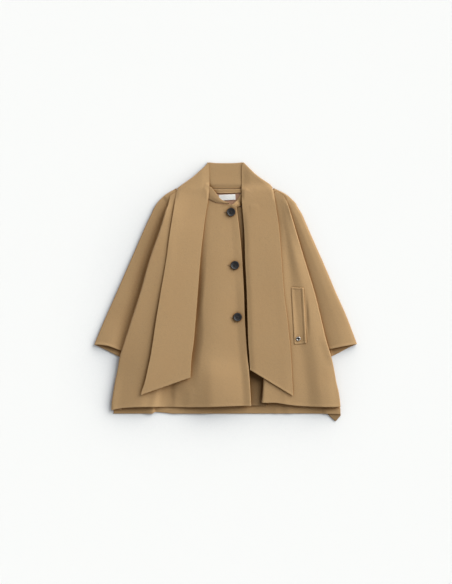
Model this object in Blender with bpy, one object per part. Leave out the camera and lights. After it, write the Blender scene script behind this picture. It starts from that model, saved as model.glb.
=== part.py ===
"""Cape coat with elbow-length sleeves and a long scarf collar, buttoned up and laid flat.

Sizes are in millimetres in the tables and in metres in the scene. The coat lies on its back
on the plane z = 0, with its collar towards +Y and its hem towards -Y, so the wearer's right
side is towards -X. The origin is under the middle of the coat's outline.

Every piece of cloth is a wall about its middle surface. The pieces are laid in the order in
which they lie on each other, each just clear of what is already there.
"""

import math

import bmesh
import bpy
import numpy as np

MM = 0.001

# ---------------------------------------------------------------- driving dimensions, in mm
CLOTH = 2.2  # wool coating, one layer
DOUBLE_CLOTH = 4.0  # the scarf collar is two layers thick
LINING = 1.0
GAP = 0.35  # between pieces that touch
CELL = 3.0  # grid on which the height of the pile is kept
HALF_WIDTH = 388.0  # middle to either cuff's tip
COLLAR_TOP = 383.3  # upper corners of the collar
HEM_TIP = -383.3  # the back's turned corner

FRONT_LIFT = 7.0  # middle of the fronts above the surface
SIDE_ROLL = 12.0  # how far the fronts' folded sides stand above that
SIDE_ROLL_WIDTH = 30.0
SLEEVE_HEIGHT = 9.0
COLLAR_ROLL = 13.0  # top of the fold where the scarf turns over
COLLAR_ROWS = 7  # points across the scarf
BUTTON_RADIUS = 12.7
BUTTON_THICK = 4.6
HOLE_CIRCLE = 2.6  # middle of the button to each of its four holes
HOLE_RADIUS = 1.1
RIVET_RADIUS = 6.4

CAMEL = (0.42, 0.27, 0.135)
CAMEL_INSIDE = (0.36, 0.225, 0.11)
LINING_BROWN = (0.26, 0.12, 0.075)
LABEL_WHITE = (0.82, 0.82, 0.79)
BUTTON_BLACK = (0.018, 0.014, 0.014)
STEEL = (0.55, 0.55, 0.56)

# ---------------------------------------------------------------- the long edges, by station
# Each row is a station up the coat; each column is where that edge crosses it.
LONG_EDGES = np.array(
    [
        # y, side_right, side_left, button_edge, pleat,
        #    tie_right_out, tie_right_in, tie_left_in, tie_left_out
        (306, -172, 172, 31.0, 62.0, -146.0, -47.8, 47.2, 140.5),
        (285, -181, 180.2, 31.0, 66.0, -148.7, -49.3, 47.6, 143.5),
        (265, -169, 182.5, 31.0, 70.0, -151.5, -52.1, 47.9, 146.5),
        (240, -176, 189.8, 33.8, 74.0, -155.8, -56.7, 49.9, 150.3),
        (182, -193.7, 206.9, 41.2, 81.0, -165.0, -64.7, 54.7, 157.7),
        (94, -224.2, 233.3, 48.8, 88.0, -174.6, -74.3, 57.5, 164.7),
        (0, -250.7, 262.0, 55.0, 95.0, -188.1, -81.6, 62.2, 171.7),
        (-94, -281.0, 285.3, 59.3, 101.0, -202.2, -89.1, 65.0, 183.1),
        (-155, -301.1, 300.2, 63.5, 106.0, -212.5, -94.7, 67.1, 189.3),
        (-192, -312.3, 311.7, 65.9, 108.5, -221.2, -99.9, 69.8, 192.4),
        (-230, -320.6, 320.3, 68.4, 111.0, -229.5, -102.4, 71.7, 194.7),
        (-266, -328.6, 326.6, 71.0, 111.0, -237.8, -103.4, 71.9, 196.7),
        (-302, -334.9, 334.9, 73.5, 108.5, -249.0, -103.6, 72.0, 198.8),
        (-337, -339.0, 339.0, 74.9, 105.5, -249.0, -103.6, 72.0, 199.1),
        (-349, -337.0, 340.4, 74.9, 105.5, -249.0, -103.6, 72.0, 199.1),
    ],
    dtype=[
        (name, float)
        for name in (
            "y side_right side_left button_edge pleat tie_right_out tie_right_in"
            " tie_left_in tie_left_out"
        ).split()
    ],
)

# ---------------------------------------------------------------- the short edges: (x, y)
RIGHT_FRONT_TOP = [
    (-181, 285), (-165, 293.5), (-150, 301), (-137, 293), (-112, 292), (-82, 290), (-60, 282), (-46.6, 271.3),
    (-37.5, 266.8), (-25.7, 262.1), (-6, 258.6), (31, 257.6),
]
RIGHT_FRONT_HEM = [
    (-337, -349), (-325, -345.5), (-296.5, -342), (-243, -339.4), (-110, -340.3), (0, -337), (43, -335.9),
    (74.9, -336.5),
]
LEFT_FRONT_TOP = [(66, 285), (82, 290), (112, 292), (135, 293), (147, 304), (162, 297.5), (180.2, 287.5)]
LEFT_FRONT_HEM = [
    (105.5, -326.5), (125, -326.5), (146, -326.5), (167, -330), (214, -336), (285, -338.8), (339, -338.8),
]
BACK_TOP = [
    (-177, 283), (-160, 292), (-146, 294.5), (-126, 296), (-104, 301.5), (-84, 303.6), (0, 303.6),
    (84, 303.6), (104, 301.5), (126, 296), (146, 294.5), (160, 292), (177, 283),
]
BACK_HEM = [
    (-333, -359.8), (-216.5, -359.8), (-208.5, -355), (-178, -357.5), (-158, -360), (232, -359.5),
    (300.9, -360.3), (324.8, HEM_TIP), (340.3, -365.4),
]
SLEEVES = {
    "right": {
        "outer": [
            (-183, 285), (-203.7, 265), (-217, 247.4), (-225.4, 229.7), (-241.6, 194.3), (-271.7, 123.5),
            (-303, 53), (-334, -18), (-364, -89), (-HALF_WIDTH, -153.8),
        ],
        "inner": [(-172, 280), (-158, 240), (-170, 182), (-195, 94), (-217, 0), (-240, -94), (-256, -160)],
        "upper_hem": [(-HALF_WIDTH, -155.3), (-367, -156.8), (-345, -160), (-321.6, -169), (-300, -177), (-256, -190)],
        "lower_hem": [(-HALF_WIDTH, -156.2), (-367, -165.5), (-348, -174.5), (-311, -192.8), (-256, -214)],
    },
    "left": {
        "outer": [
            (182, 287), (204.4, 265), (214.5, 247.4), (225.4, 229.7), (241, 194.3), (264.3, 141.2),
            (295.6, 70.4), (325.4, -0.4), (357, -71.2), (HALF_WIDTH, -153),
        ],
        "inner": [(172, 280), (170, 240), (184, 182), (205, 94), (228, 0), (245, -94), (256, -160)],
        "upper_hem": [(HALF_WIDTH, -153.5), (367.6, -157.4), (345, -161), (320, -166.5), (300, -171), (256, -184)],
        "lower_hem": [(HALF_WIDTH, -154.4), (373.5, -160.3), (354, -170), (334.5, -180.1), (311, -191.3), (256, -212)],
    },
}
ROLL_RIGHT = [(-54.6, COLLAR_TOP), (-65, 372), (-87, 353.8), (-107, 336.6), (-132, 318), (-146, 306.4)]
ROLL_LEFT = [(54.6, COLLAR_TOP), (66, 372), (86.5, 353.8), (108.5, 336.6), (134, 318.5), (140.5, 308)]
TIE_RIGHT_END = [(-103.6, -252), (-249, -303.4)]
TIE_LEFT_END = [(72, -229.3), (199.1, -307.4)]
STAND_TOP = [(-54.6, COLLAR_TOP), (-30, 380.8), (0, 380.2), (30, 380.8), (54.6, COLLAR_TOP)]
STAND_FOOT = [(-146, 306.4), (-60, 305), (0, 304.4), (60, 305), (140.5, 308)]
NECKBAND_RIGHT = {
    "seam": [(-82, 300), (-60, 284), (-46.6, 272.6), (-37.5, 268), (-25.7, 263.3), (-6, 259.6), (12, 259)],
    "free": [(-66, 318), (-46.6, 311), (-39.2, 306), (-31.6, 295.4), (-22.4, 283.3), (-10.6, 271.3), (12, 262)],
}
NECKBAND_LEFT = {
    "seam": [(84, 300), (66, 282), (56, 266), (48, 256), (33, 250)],
    "free": [(66, 318), (45.1, 290.7), (36.3, 275.7), (28.6, 265.4), (19, 256.5)],
}
NECKBAND_BACK = {"seam": [(-52, 304), (0, 303.4), (60, 304)], "free": [(-44, 291.5), (0, 291), (56, 292.5)]}
LINING_TOP = [(-62, 290.6), (0, 290), (62, 291.6)]
LINING_FOOT = [(-62, 242), (0, 236), (62, 242)]

# ---------------------------------------------------------------- small pieces
BUTTONS = {"top": (16.2, 235.0), "middle": (27.4, 78.3), "bottom": (35.4, -74.2)}
LABEL = {"centre": (4.6, 279.0), "size": (49.0, 16.5, 0.8), "turn_deg": 2.5}
WELT = [(192.9, 14.0), (229.6, 12.0), (238.4, -151.5), (202.0, -155.5)]  # corners, clockwise
WELT_THICK = 2.6
RIVET = (213.8, -137.8)
RIVET_THICK = 2.4

# Folds of the fronts: ridge from its upper to its lower end, half width and height.
FOLDS = [
    # x_top, y_top, x_low, y_low, half_width, height
    (-22, 240, -2, -330, 46, 6.0),  # swell over the chest, beside the button edge
    (158, 250, 186, -300, 26, 5.0),  # under the left tie's outer edge
    (-160, 60, -232, -330, 20, 2.5),  # under the right tie's outer edge
    (-128, -150, -139, -345, 12, 4.0),
    (-96, -190, -102, -345, 12, 3.0),
    (-52, -170, -60, -345, 14, 2.0),
    (268, -150, 279, -345, 22, 4.0),
    (214, 60, 238, -330, 20, -2.0),  # valley beyond the pocket
]


# ---------------------------------------------------------------- curves and patches
def edge(name, y):
    """Where the named long edge crosses the stations y."""
    stations = LONG_EDGES[::-1]
    return np.interp(y, stations["y"], stations[name])


def through(points, count, smooth=True):
    """Points spread evenly along the smooth curve, or the polyline, through the given ones."""
    points = np.array(points, float)
    if smooth and len(points) > 2:
        first, last = 2 * points[0] - points[1], 2 * points[-1] - points[-2]
        padded = np.vstack([first, points, last])
        t = np.linspace(0, 1, 8, endpoint=False)[:, None]
        spans = []
        for a, b, c, d in zip(padded, padded[1:], padded[2:], padded[3:]):
            bend = 2 * a - 5 * b + 4 * c - d
            spans.append(b + 0.5 * t * (c - a + t * (bend + t * (3 * (b - c) + d - a))))
        points = np.vstack([*spans, points[-1:]])
    steps = np.hypot(*np.diff(points, axis=0).T)
    run = np.concatenate([[0], np.cumsum(steps)])
    wanted = np.linspace(0, run[-1], count)
    found = np.column_stack([np.interp(wanted, run, points[:, i]) for i in range(2)])
    if not smooth:
        for corner in points[1:-1]:
            found[np.hypot(*(found - corner).T).argmin()] = corner
    return found


def side(name, top, low, count, shift=0.0):
    """Points down a long edge from station top to station low, moved sideways by shift."""
    y = np.linspace(top, low, count)
    return np.column_stack([edge(name, y) + shift, y])


def patch(top, low, first, last):
    """Grid of points inside four edges: rows run down from top to low, columns from first to last."""
    u = np.linspace(0, 1, len(top))[None, :, None]
    v = np.linspace(0, 1, len(first))[:, None, None]
    rows = (1 - v) * top[None] + v * low[None]
    columns = (1 - u) * first[:, None] + u * last[:, None]
    corners = (1 - v) * ((1 - u) * top[0] + u * top[-1]) + v * ((1 - u) * low[0] + u * low[-1])
    return rows + columns - corners


def bell(distance, width):
    return np.exp(-((distance / width) ** 2))


def fold_height(x, y):
    """Height that the fronts' folds add at (x, y)."""
    total = np.zeros_like(x)
    for x_top, y_top, x_low, y_low, half_width, height in FOLDS:
        along = (y_top - y) / (y_top - y_low)
        middle = x_top + (x_low - x_top) * along
        grows = np.clip(along * 4, 0, 1) * np.clip((1.06 - along) * 12, 0, 1)
        total += height * grows * bell(x - middle, half_width)
    return total


# ---------------------------------------------------------------- the pile
class Pile:
    """Height of the top of everything laid so far, on a square grid."""

    def __init__(self):
        self.half = int(420 / CELL)
        self.top = np.zeros((2 * self.half + 1, 2 * self.half + 1))

    def cells(self, x, y):
        return (np.rint(np.stack([x, y]) / CELL).astype(int) + self.half).clip(0, 2 * self.half)

    def height(self, x, y, reach=0):
        """Top of the pile within reach cells of each (x, y)."""
        i, j = self.cells(x, y)
        found = np.zeros(np.shape(x))
        for di in range(-reach, reach + 1):
            for dj in range(-reach, reach + 1):
                near = self.top[(i + di).clip(0, 2 * self.half), (j + dj).clip(0, 2 * self.half)]
                found = np.maximum(found, near)
        return found

    def add(self, samples):
        """Takes in points (n, 3) of a piece that has been laid."""
        i, j = self.cells(samples[:, 0], samples[:, 1])
        np.maximum.at(self.top, (i, j), samples[:, 2])


def spread(corners, steps=12):
    """Points all over each triangle (n, 3, 3)."""
    a, b = np.meshgrid(np.arange(steps + 1), np.arange(steps + 1))
    keep = a + b <= steps
    weights = np.stack([a[keep], b[keep], steps - a[keep] - b[keep]], axis=1) / steps
    return np.einsum("sk,nkd->nsd", weights, corners)


def triangles(rows, columns):
    """Corner numbers of the two triangles in each cell of a grid."""
    at = np.arange(rows * columns).reshape(rows, columns)
    a, b, c, d = at[:-1, :-1].ravel(), at[1:, :-1].ravel(), at[1:, 1:].ravel(), at[:-1, 1:].ravel()
    return np.concatenate([np.stack([a, b, c], axis=1), np.stack([a, c, d], axis=1)])


def settle(pile, grid, wall, rounds=12):
    """Raises the points of a grid until its underside clears the pile everywhere."""
    faces = triangles(*grid.shape[:2])
    points = grid.reshape(-1, 3).copy()
    for _ in range(rounds):
        samples = spread(points[faces])
        floor = pile.height(samples[..., 0], samples[..., 1]) + GAP + wall / 2
        short = (floor - samples[..., 2]).max(axis=1).clip(0)
        if short.max() < 0.02:
            break
        lift = np.zeros(len(points))
        np.maximum.at(lift, faces.ravel(), np.repeat(short, 3))
        points[:, 2] += lift
    return points.reshape(grid.shape)


# ---------------------------------------------------------------- objects
def clear_scene():
    for obj in list(bpy.data.objects):
        bpy.data.objects.remove(obj, do_unlink=True)


def material(name, colour, roughness, metallic=0.0):
    made = bpy.data.materials.new(name)
    made.use_nodes = True
    shader = made.node_tree.nodes["Principled BSDF"]
    shader.inputs["Base Color"].default_value = (*colour, 1.0)
    shader.inputs["Roughness"].default_value = roughness
    shader.inputs["Metallic"].default_value = metallic
    made.diffuse_color = (*colour, 1.0)
    return made


def add_object(name, mesh, look):
    obj = bpy.data.objects.new(name, mesh)
    obj.data.materials.append(look)
    bpy.context.scene.collection.objects.link(obj)
    return obj


def wall_object(name, pile, grid, wall, look):
    """Makes a grid of middle points into a wall, and puts it on the pile."""
    rows, columns = grid.shape[:2]
    faces = triangles(rows, columns)
    corners = grid.reshape(-1, 3)[faces]
    normals = np.cross(corners[:, 1] - corners[:, 0], corners[:, 2] - corners[:, 0])
    if normals[:, 2].sum() < 0:
        faces = faces[:, ::-1]
    mesh = bpy.data.meshes.new(name)
    mesh.from_pydata((grid.reshape(-1, 3) * MM).tolist(), [], faces.tolist())
    mesh.shade_smooth()
    obj = add_object(name, mesh, look)
    solid = obj.modifiers.new("cloth", "SOLIDIFY")
    solid.thickness = wall * MM
    solid.offset = 0.0
    samples = spread(corners).reshape(-1, 3)
    pile.add(samples + (0, 0, wall / 2))
    return obj


def slab(name, outline, z, thick, look):
    """A flat piece with the given outline, its underside at height z."""
    shape = bmesh.new()
    ring = [shape.verts.new((x * MM, y * MM, z * MM)) for x, y in outline]
    face = shape.faces.new(ring)
    if face.normal.z < 0:
        face.normal_flip()
    raised = bmesh.ops.extrude_face_region(shape, geom=[face])["geom"]
    bmesh.ops.translate(
        shape, vec=(0, 0, thick * MM), verts=[v for v in raised if isinstance(v, bmesh.types.BMVert)]
    )
    bmesh.ops.recalc_face_normals(shape, faces=shape.faces)
    mesh = bpy.data.meshes.new(name)
    shape.to_mesh(mesh)
    shape.free()
    return add_object(name, mesh, look)


def turned(name, centre, z, profile, look, segments=20):
    """A round piece: profile is (radius, height) from the middle of its foot to its top."""
    shape = bmesh.new()
    ends = [shape.verts.new((0, 0, profile[0][1] * MM)), shape.verts.new((0, 0, profile[-1][1] * MM))]
    rings = []
    for radius, height in profile[1:-1]:
        turn = [math.tau * k / segments for k in range(segments)]
        rings.append(
            [shape.verts.new((radius * MM * math.cos(a), radius * MM * math.sin(a), height * MM)) for a in turn]
        )
    for k in range(segments):
        n = (k + 1) % segments
        shape.faces.new((ends[0], rings[0][n], rings[0][k]))
        shape.faces.new((ends[1], rings[-1][k], rings[-1][n]))
        for lower, upper in zip(rings, rings[1:]):
            shape.faces.new((lower[k], lower[n], upper[n], upper[k]))
    bmesh.ops.recalc_face_normals(shape, faces=shape.faces)
    mesh = bpy.data.meshes.new(name)
    shape.to_mesh(mesh)
    shape.free()
    mesh.shade_smooth()
    obj = add_object(name, mesh, look)
    obj.location = (centre[0] * MM, centre[1] * MM, z * MM)
    return obj


# ---------------------------------------------------------------- rolled edges
def rolled(pile, grid, outline, wall, under, steps=4):
    """Adds to a grid's first column a fold that rolls out to the outline and back under it.

    The fold's lower half lies on the pile and runs under the grid for the given length.
    """
    first = grid[:, 0]
    inward = grid[:, 1, :2] - first[:, :2]
    inward /= np.hypot(*inward.T)[:, None]
    low = pile.height(first[:, 0], first[:, 1], reach=2) + GAP + wall / 2
    top = np.maximum(first[:, 2], low + wall + GAP)
    radius = (top - low) / 2
    edge_at = outline + inward * wall / 2
    columns = []
    for end in (under, 0.0):
        at = edge_at + inward * (radius + end)[:, None]
        columns.append(np.column_stack([at, low]))
    for k in range(1, steps):
        angle = math.pi * k / steps
        at = edge_at + inward * (radius * (1 - math.sin(angle)))[:, None]
        columns.append(np.column_stack([at, low + radius * (1 - math.cos(angle))]))
    moved = np.column_stack([edge_at + inward * radius[:, None], top])
    whole = np.concatenate([np.stack(columns, axis=1), moved[:, None], grid[:, 1:]], axis=1)
    return settle(pile, whole, wall)


# ---------------------------------------------------------------- the pieces of cloth
def make_back(pile, look):
    """The back lies flat on the surface, from the neck seam to a hem lower than the fronts'."""
    rows, columns = 15, 21
    top = through(BACK_TOP, columns)
    low = through(BACK_HEM, columns, smooth=False)
    first = side("side_right", 283, -359.8, rows, shift=6)
    last = side("side_left", 283, -365.4, rows, shift=-6)
    first[0], first[-1], last[0], last[-1] = top[0], low[0], top[-1], low[-1]
    flat = patch(top, low, first, last)
    step = 3.4 * bell(flat[..., 0] + 232, 20) * np.clip((-270 - flat[..., 1]) / 60, 0, 1)
    grid = np.dstack([flat, np.full(flat.shape[:2], CLOTH / 2) + step])
    return wall_object("back", pile, grid, CLOTH, look)


def make_lining(pile, look):
    """The little of the lining that shows inside the back's neck."""
    rows, columns = 4, 7
    flat = patch(
        through(LINING_TOP, columns), through(LINING_FOOT, columns),
        through([LINING_TOP[0], LINING_FOOT[0]], rows), through([LINING_TOP[-1], LINING_FOOT[-1]], rows),
    )
    grid = settle(pile, np.dstack([flat, np.zeros(flat.shape[:2])]), LINING)
    return wall_object("lining", pile, grid, LINING, look)


def make_sleeve(pile, hand, look):
    """A sleeve is one sheet folded along its outer edge: lower wall, fold, upper wall."""
    cut = SLEEVES[hand]
    rows, columns, steps = 15, 6, 4
    outer, inner = through(cut["outer"], rows), through(cut["inner"], rows)
    walls = []
    for hem in ("lower_hem", "upper_hem"):
        low = through(cut[hem], columns)
        top = through([outer[0], inner[0]], columns)
        ends = outer.copy(), inner.copy()
        for curve, start, end in ((ends[0], outer, low[0]), (ends[1], inner, low[-1])):
            curve += np.linspace(0, 1, rows)[:, None] ** 3 * (end - start[-1])
        walls.append(patch(top, low, *ends))
    lower_flat, upper_flat = walls
    across = np.linspace(0, 1, columns)[None, :]
    down = np.linspace(0, 1, rows)[:, None]
    lower = settle(pile, np.dstack([lower_flat, np.zeros((rows, columns))]), CLOTH)
    lower[..., 2] = np.maximum(lower[..., 2], CLOTH / 2)
    samples = spread(lower.reshape(-1, 3)[triangles(rows, columns)]).reshape(-1, 3)
    pile.add(samples + (0, 0, CLOTH / 2))
    height = SLEEVE_HEIGHT - 2.6 * across + 0.6 * np.sin(3 * math.pi * down) * (1 - across)
    upper = settle(pile, np.dstack([upper_flat, height + 0 * down]), CLOTH)
    fold_low, fold_top = lower[:, 0, 2], upper[:, 0, 2]
    radius = (fold_top - fold_low) / 2
    inward = upper[:, 1, :2] - upper[:, 0, :2]
    inward /= np.hypot(*inward.T)[:, None]
    edge_at = upper[:, 0, :2] + inward * CLOTH / 2
    arc = []
    for k in range(steps + 1):
        angle = math.pi * k / steps
        at = edge_at + inward * (radius * (1 - math.sin(angle)))[:, None]
        arc.append(np.column_stack([at, fold_low + radius * (1 - math.cos(angle))]))
    grid = np.concatenate([lower[:, :0:-1], np.stack(arc, axis=1), upper[:, 1:]], axis=1)
    return wall_object(f"sleeve_{hand}", pile, grid, CLOTH, look)


def front_height(x, y, side_x):
    """Middle of a front above the surface: nearly flat, with a roll along its side and folds."""
    from_side = np.abs(x - side_x)
    length = np.clip((286 - y) / 60, 0, 1) * (1 - 0.45 * np.clip((-180 - y) / 150, 0, 1))
    shoulder = 3.0 * np.clip((y - 250) / 50, 0, 1)
    roll = SIDE_ROLL * length * bell(from_side, SIDE_ROLL_WIDTH)
    return FRONT_LIFT - shoulder + roll + fold_height(x, y)


def make_underlap(pile, look):
    """The strip of the left front that runs on under the right front's button edge."""
    rows, columns = 14, 3
    first = side("button_edge", 250, -336, rows, shift=-34)
    last = side("pleat", 250, -336, rows, shift=16)
    flat = patch(through([first[0], last[0]], columns), through([first[-1], last[-1]], columns), first, last)
    grid = settle(pile, np.dstack([flat, np.zeros((rows, columns))]), CLOTH)
    return wall_object("underlap", pile, grid, CLOTH, look)


def make_front(pile, hand, look):
    rows, columns = 20, 12
    if hand == "right":
        top, low = through(RIGHT_FRONT_TOP, columns), through(RIGHT_FRONT_HEM, columns)
        outline = side("side_right", top[0, 1], low[0, 1], rows)
        last = side("button_edge", top[-1, 1], low[-1, 1], rows)
    else:
        top, low = through(LEFT_FRONT_TOP[::-1], columns), through(LEFT_FRONT_HEM[::-1], columns)
        outline = side("side_left", top[0, 1], low[0, 1], rows)
        last = side("pleat", top[-1, 1], low[-1, 1], rows)
    flat = patch(top, low, outline, last)
    height = front_height(flat[..., 0], flat[..., 1], edge(f"side_{hand}", flat[..., 1]))
    grid = settle(pile, np.dstack([flat, height]), CLOTH)
    if hand == "left":
        turned_back = rolled(pile, grid[:, ::-1], last, CLOTH, under=9, steps=3)
        grid = turned_back[:, ::-1]
    grid = rolled(pile, grid, outline, CLOTH, under=14)
    return wall_object(f"front_{hand}", pile, grid, CLOTH, look)


def make_neckband(pile, name, curves, rise, look):
    """A narrow band between its seam and its free edge, which stands up a little."""
    rows, columns = 3, 9
    seam, free = through(curves["seam"], columns), through(curves["free"], columns)
    flat = patch(free, seam, through([free[0], seam[0]], rows), through([free[-1], seam[-1]], rows))
    height = np.linspace(rise, 0, rows)[:, None] * np.ones(columns)
    grid = settle(pile, np.dstack([flat, height]), CLOTH)
    return wall_object(name, pile, grid, CLOTH, look)


def lay_stand(pile):
    """The collar's stand lies on the surface behind the neck. Its grid waits for the ties."""
    rows, columns = COLLAR_ROWS, 9
    top, foot = through(STAND_TOP, columns), through(STAND_FOOT, columns)
    flat = patch(top, foot, through(ROLL_RIGHT, rows), through(ROLL_LEFT, rows))
    stand = np.dstack([flat, np.full((rows, columns), DOUBLE_CLOTH / 2)])
    samples = spread(stand.reshape(-1, 3)[triangles(rows, columns)]).reshape(-1, 3)
    pile.add(samples + (0, 0, DOUBLE_CLOTH / 2))
    return stand


def make_collar(pile, stand, look):
    """One long scarf: the stand behind the neck folds over at each side into a hanging tie."""
    across, down, steps = COLLAR_ROWS, 17, 4
    ties = {}
    for hand, roll, end in (("right", ROLL_RIGHT, TIE_RIGHT_END), ("left", ROLL_LEFT, TIE_LEFT_END)):
        top, low = through(roll, across), through(end, across)
        beside_neck = through([top[0], (edge(f"tie_{hand}_in", 306), 306)], 4)
        inner = np.vstack([beside_neck, side(f"tie_{hand}_in", 306, low[0, 1], down - 3)[1:]])
        outer = side(f"tie_{hand}_out", top[-1, 1], low[-1, 1], down)
        flat = patch(top, low, inner, outer)
        crown = 2.0 * np.sin(np.linspace(0, math.pi, across))[None, :]
        roll_over = (COLLAR_ROLL - crown) * bell(np.arange(down), 2.5)[:, None]
        ties[hand] = settle(pile, np.dstack([flat, crown + roll_over]), DOUBLE_CLOTH)
    for hand, column in (("right", 0), ("left", -1)):
        tie, flank = ties[hand], stand[:, column]
        beside = stand[:, 1 if column == 0 else -2]
        inward = beside[:, :2] - flank[:, :2]
        down_tie = tie[1, :, :2] - tie[0, :, :2]
        inward = inward / np.hypot(*inward.T)[:, None] + down_tie / np.hypot(*down_tie.T)[:, None]
        inward /= np.hypot(*inward.T)[:, None]
        radius = (tie[0, :, 2] - flank[:, 2]) / 2
        edge_at = tie[0, :, :2] + inward * DOUBLE_CLOTH / 2
        arc = []
        for k in range(steps + 1):
            angle = math.pi * k / steps
            at = edge_at + inward * (radius * (1 - math.sin(angle)))[:, None]
            arc.append(np.column_stack([at, flank[:, 2] + radius * (1 - math.cos(angle))]))
        ties[hand] = np.concatenate([np.stack(arc), tie[1:]])
    grid = np.concatenate([ties["right"][::-1], stand.transpose(1, 0, 2)[1:-1], ties["left"]])
    return wall_object("scarf_collar", pile, grid, DOUBLE_CLOTH, look)


# ---------------------------------------------------------------- trimmings
def seat(pile, centre, across, along=None, turn=0.0):
    """Lowest height at which a flat round or oblong piece clears the pile."""
    u, v = np.meshgrid(np.linspace(-0.5, 0.5, 15), np.linspace(-0.5, 0.5, 15))
    if along is None:
        inside = u**2 + v**2 <= 0.25
        u, v, along = u[inside], v[inside], across
    u, v = u * across, v * along
    x = centre[0] + u * math.cos(turn) - v * math.sin(turn)
    y = centre[1] + u * math.sin(turn) + v * math.cos(turn)
    return pile.height(x, y).max() + GAP


def make_buttons(pile, look):
    """Four-hole buttons with a raised rim, sewn through the right front's buttonholes."""
    r, h = BUTTON_RADIUS, BUTTON_THICK
    profile = [
        (0, 0), (0.62 * r, 0), (r, 0.34 * h), (r, 0.66 * h), (0.88 * r, h), (0.72 * r, 0.94 * h),
        (0.6 * r, 0.7 * h), (0, 0.66 * h),
    ]
    for place, (x, y) in BUTTONS.items():
        z = seat(pile, (x, y), 1.3 * r)
        button = turned(f"button_{place}", (x, y), z, profile, look)
        for k in range(4):
            turn = math.pi * (k + 0.5) / 2
            at = (x + HOLE_CIRCLE * math.cos(turn), y + HOLE_CIRCLE * math.sin(turn))
            shaft = [(0, 0), (HOLE_RADIUS, 0), (HOLE_RADIUS, h + 2), (0, h + 2)]
            drill = turned(f"drill_{place}_{k}", at, z - 1, shaft, look, segments=8)
            drill.hide_render = True
            drill.display_type = "WIRE"
            cut = button.modifiers.new(f"hole_{k}", "BOOLEAN")
            cut.operation = "DIFFERENCE"
            cut.object = drill


def make_pocket(pile, cloth, steel):
    """The welt lies on the left front, and a rivet holds its lower end."""
    corners = np.array(WELT, float)
    rows, columns = 7, 3
    flat = patch(
        through(corners[:2], columns), through(corners[[3, 2]], columns),
        through(corners[[0, 3]], rows), through(corners[[1, 2]], rows),
    )
    grid = settle(pile, np.dstack([flat, np.zeros((rows, columns))]), WELT_THICK)
    wall_object("pocket_welt", pile, grid, WELT_THICK, cloth)
    r = RIVET_RADIUS
    z = seat(pile, RIVET, 2 * r)
    h = RIVET_THICK
    profile = [(0, 0), (r, 0), (r, 0.4 * h), (0.8 * r, h), (0.45 * r, 0.8 * h), (0, 0.7 * h)]
    turned("pocket_rivet", RIVET, z, profile, steel, segments=20)


def make_label(pile, look):
    """A bare woven label on the lining, under the middle of the neck seam."""
    (x, y), (length, width, thick) = LABEL["centre"], LABEL["size"]
    turn = math.radians(LABEL["turn_deg"])
    outline = []
    for along, up in ((-1, -1), (1, -1), (1, 1), (-1, 1)):
        dx, dy = along * length / 2, up * width / 2
        turned_x = dx * math.cos(turn) - dy * math.sin(turn)
        turned_y = dx * math.sin(turn) + dy * math.cos(turn)
        outline.append((x + turned_x, y + turned_y))
    slab("label", outline, seat(pile, (x, y), length, width, turn), thick, look)


def build():
    clear_scene()
    pile = Pile()
    camel = material("camel_wool", CAMEL, 0.95)
    inside = material("camel_wool_inside", CAMEL_INSIDE, 0.95)
    make_back(pile, camel)
    make_lining(pile, material("lining_brown", LINING_BROWN, 0.6))
    make_label(pile, material("label_white", LABEL_WHITE, 0.8))
    make_neckband(pile, "neckband_back", NECKBAND_BACK, 0.0, inside)
    stand = lay_stand(pile)
    for hand in ("right", "left"):
        make_sleeve(pile, hand, camel)
    make_underlap(pile, camel)
    make_front(pile, "left", camel)
    make_neckband(pile, "neckband_left", NECKBAND_LEFT, 6.0, camel)
    make_front(pile, "right", camel)
    make_neckband(pile, "neckband_right", NECKBAND_RIGHT, 10.0, camel)
    make_collar(pile, stand, camel)
    make_buttons(pile, material("button_black", BUTTON_BLACK, 0.45))
    make_pocket(pile, camel, material("rivet_steel", STEEL, 0.35, 1.0))


build()
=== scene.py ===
"""Looks of a cape coat with elbow-length sleeves and a long scarf collar, laid flat.

The coat lies on its back with its collar towards +Y and its hem towards -Y, so the wearer's
right side is towards -X. Sizes are in millimetres in the tables and functions here, and in
metres in the scene. Each piece of cloth is a thin shell with rounded edges about a grid of
middle points. The pieces are laid in the order in which they lie on each other, and each
settles on what is already there.
"""

import math

import bpy
import numpy as np
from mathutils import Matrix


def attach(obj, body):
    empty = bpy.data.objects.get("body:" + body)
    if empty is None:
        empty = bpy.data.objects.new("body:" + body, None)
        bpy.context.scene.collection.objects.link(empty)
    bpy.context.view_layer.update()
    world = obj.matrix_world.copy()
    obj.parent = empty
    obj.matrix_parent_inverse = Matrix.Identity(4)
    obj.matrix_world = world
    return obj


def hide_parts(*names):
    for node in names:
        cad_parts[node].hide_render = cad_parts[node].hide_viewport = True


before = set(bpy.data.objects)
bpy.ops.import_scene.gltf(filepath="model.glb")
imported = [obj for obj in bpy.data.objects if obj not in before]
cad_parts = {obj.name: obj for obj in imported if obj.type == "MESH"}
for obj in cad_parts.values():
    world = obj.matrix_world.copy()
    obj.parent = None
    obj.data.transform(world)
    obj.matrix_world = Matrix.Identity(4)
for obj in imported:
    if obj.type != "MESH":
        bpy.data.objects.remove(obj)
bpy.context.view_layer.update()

MM = 0.001


def table_of(names, *rows):
    """A table with named columns and one row for each station."""
    return np.array(list(rows), dtype=[(name, float) for name in names.split()])


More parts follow.
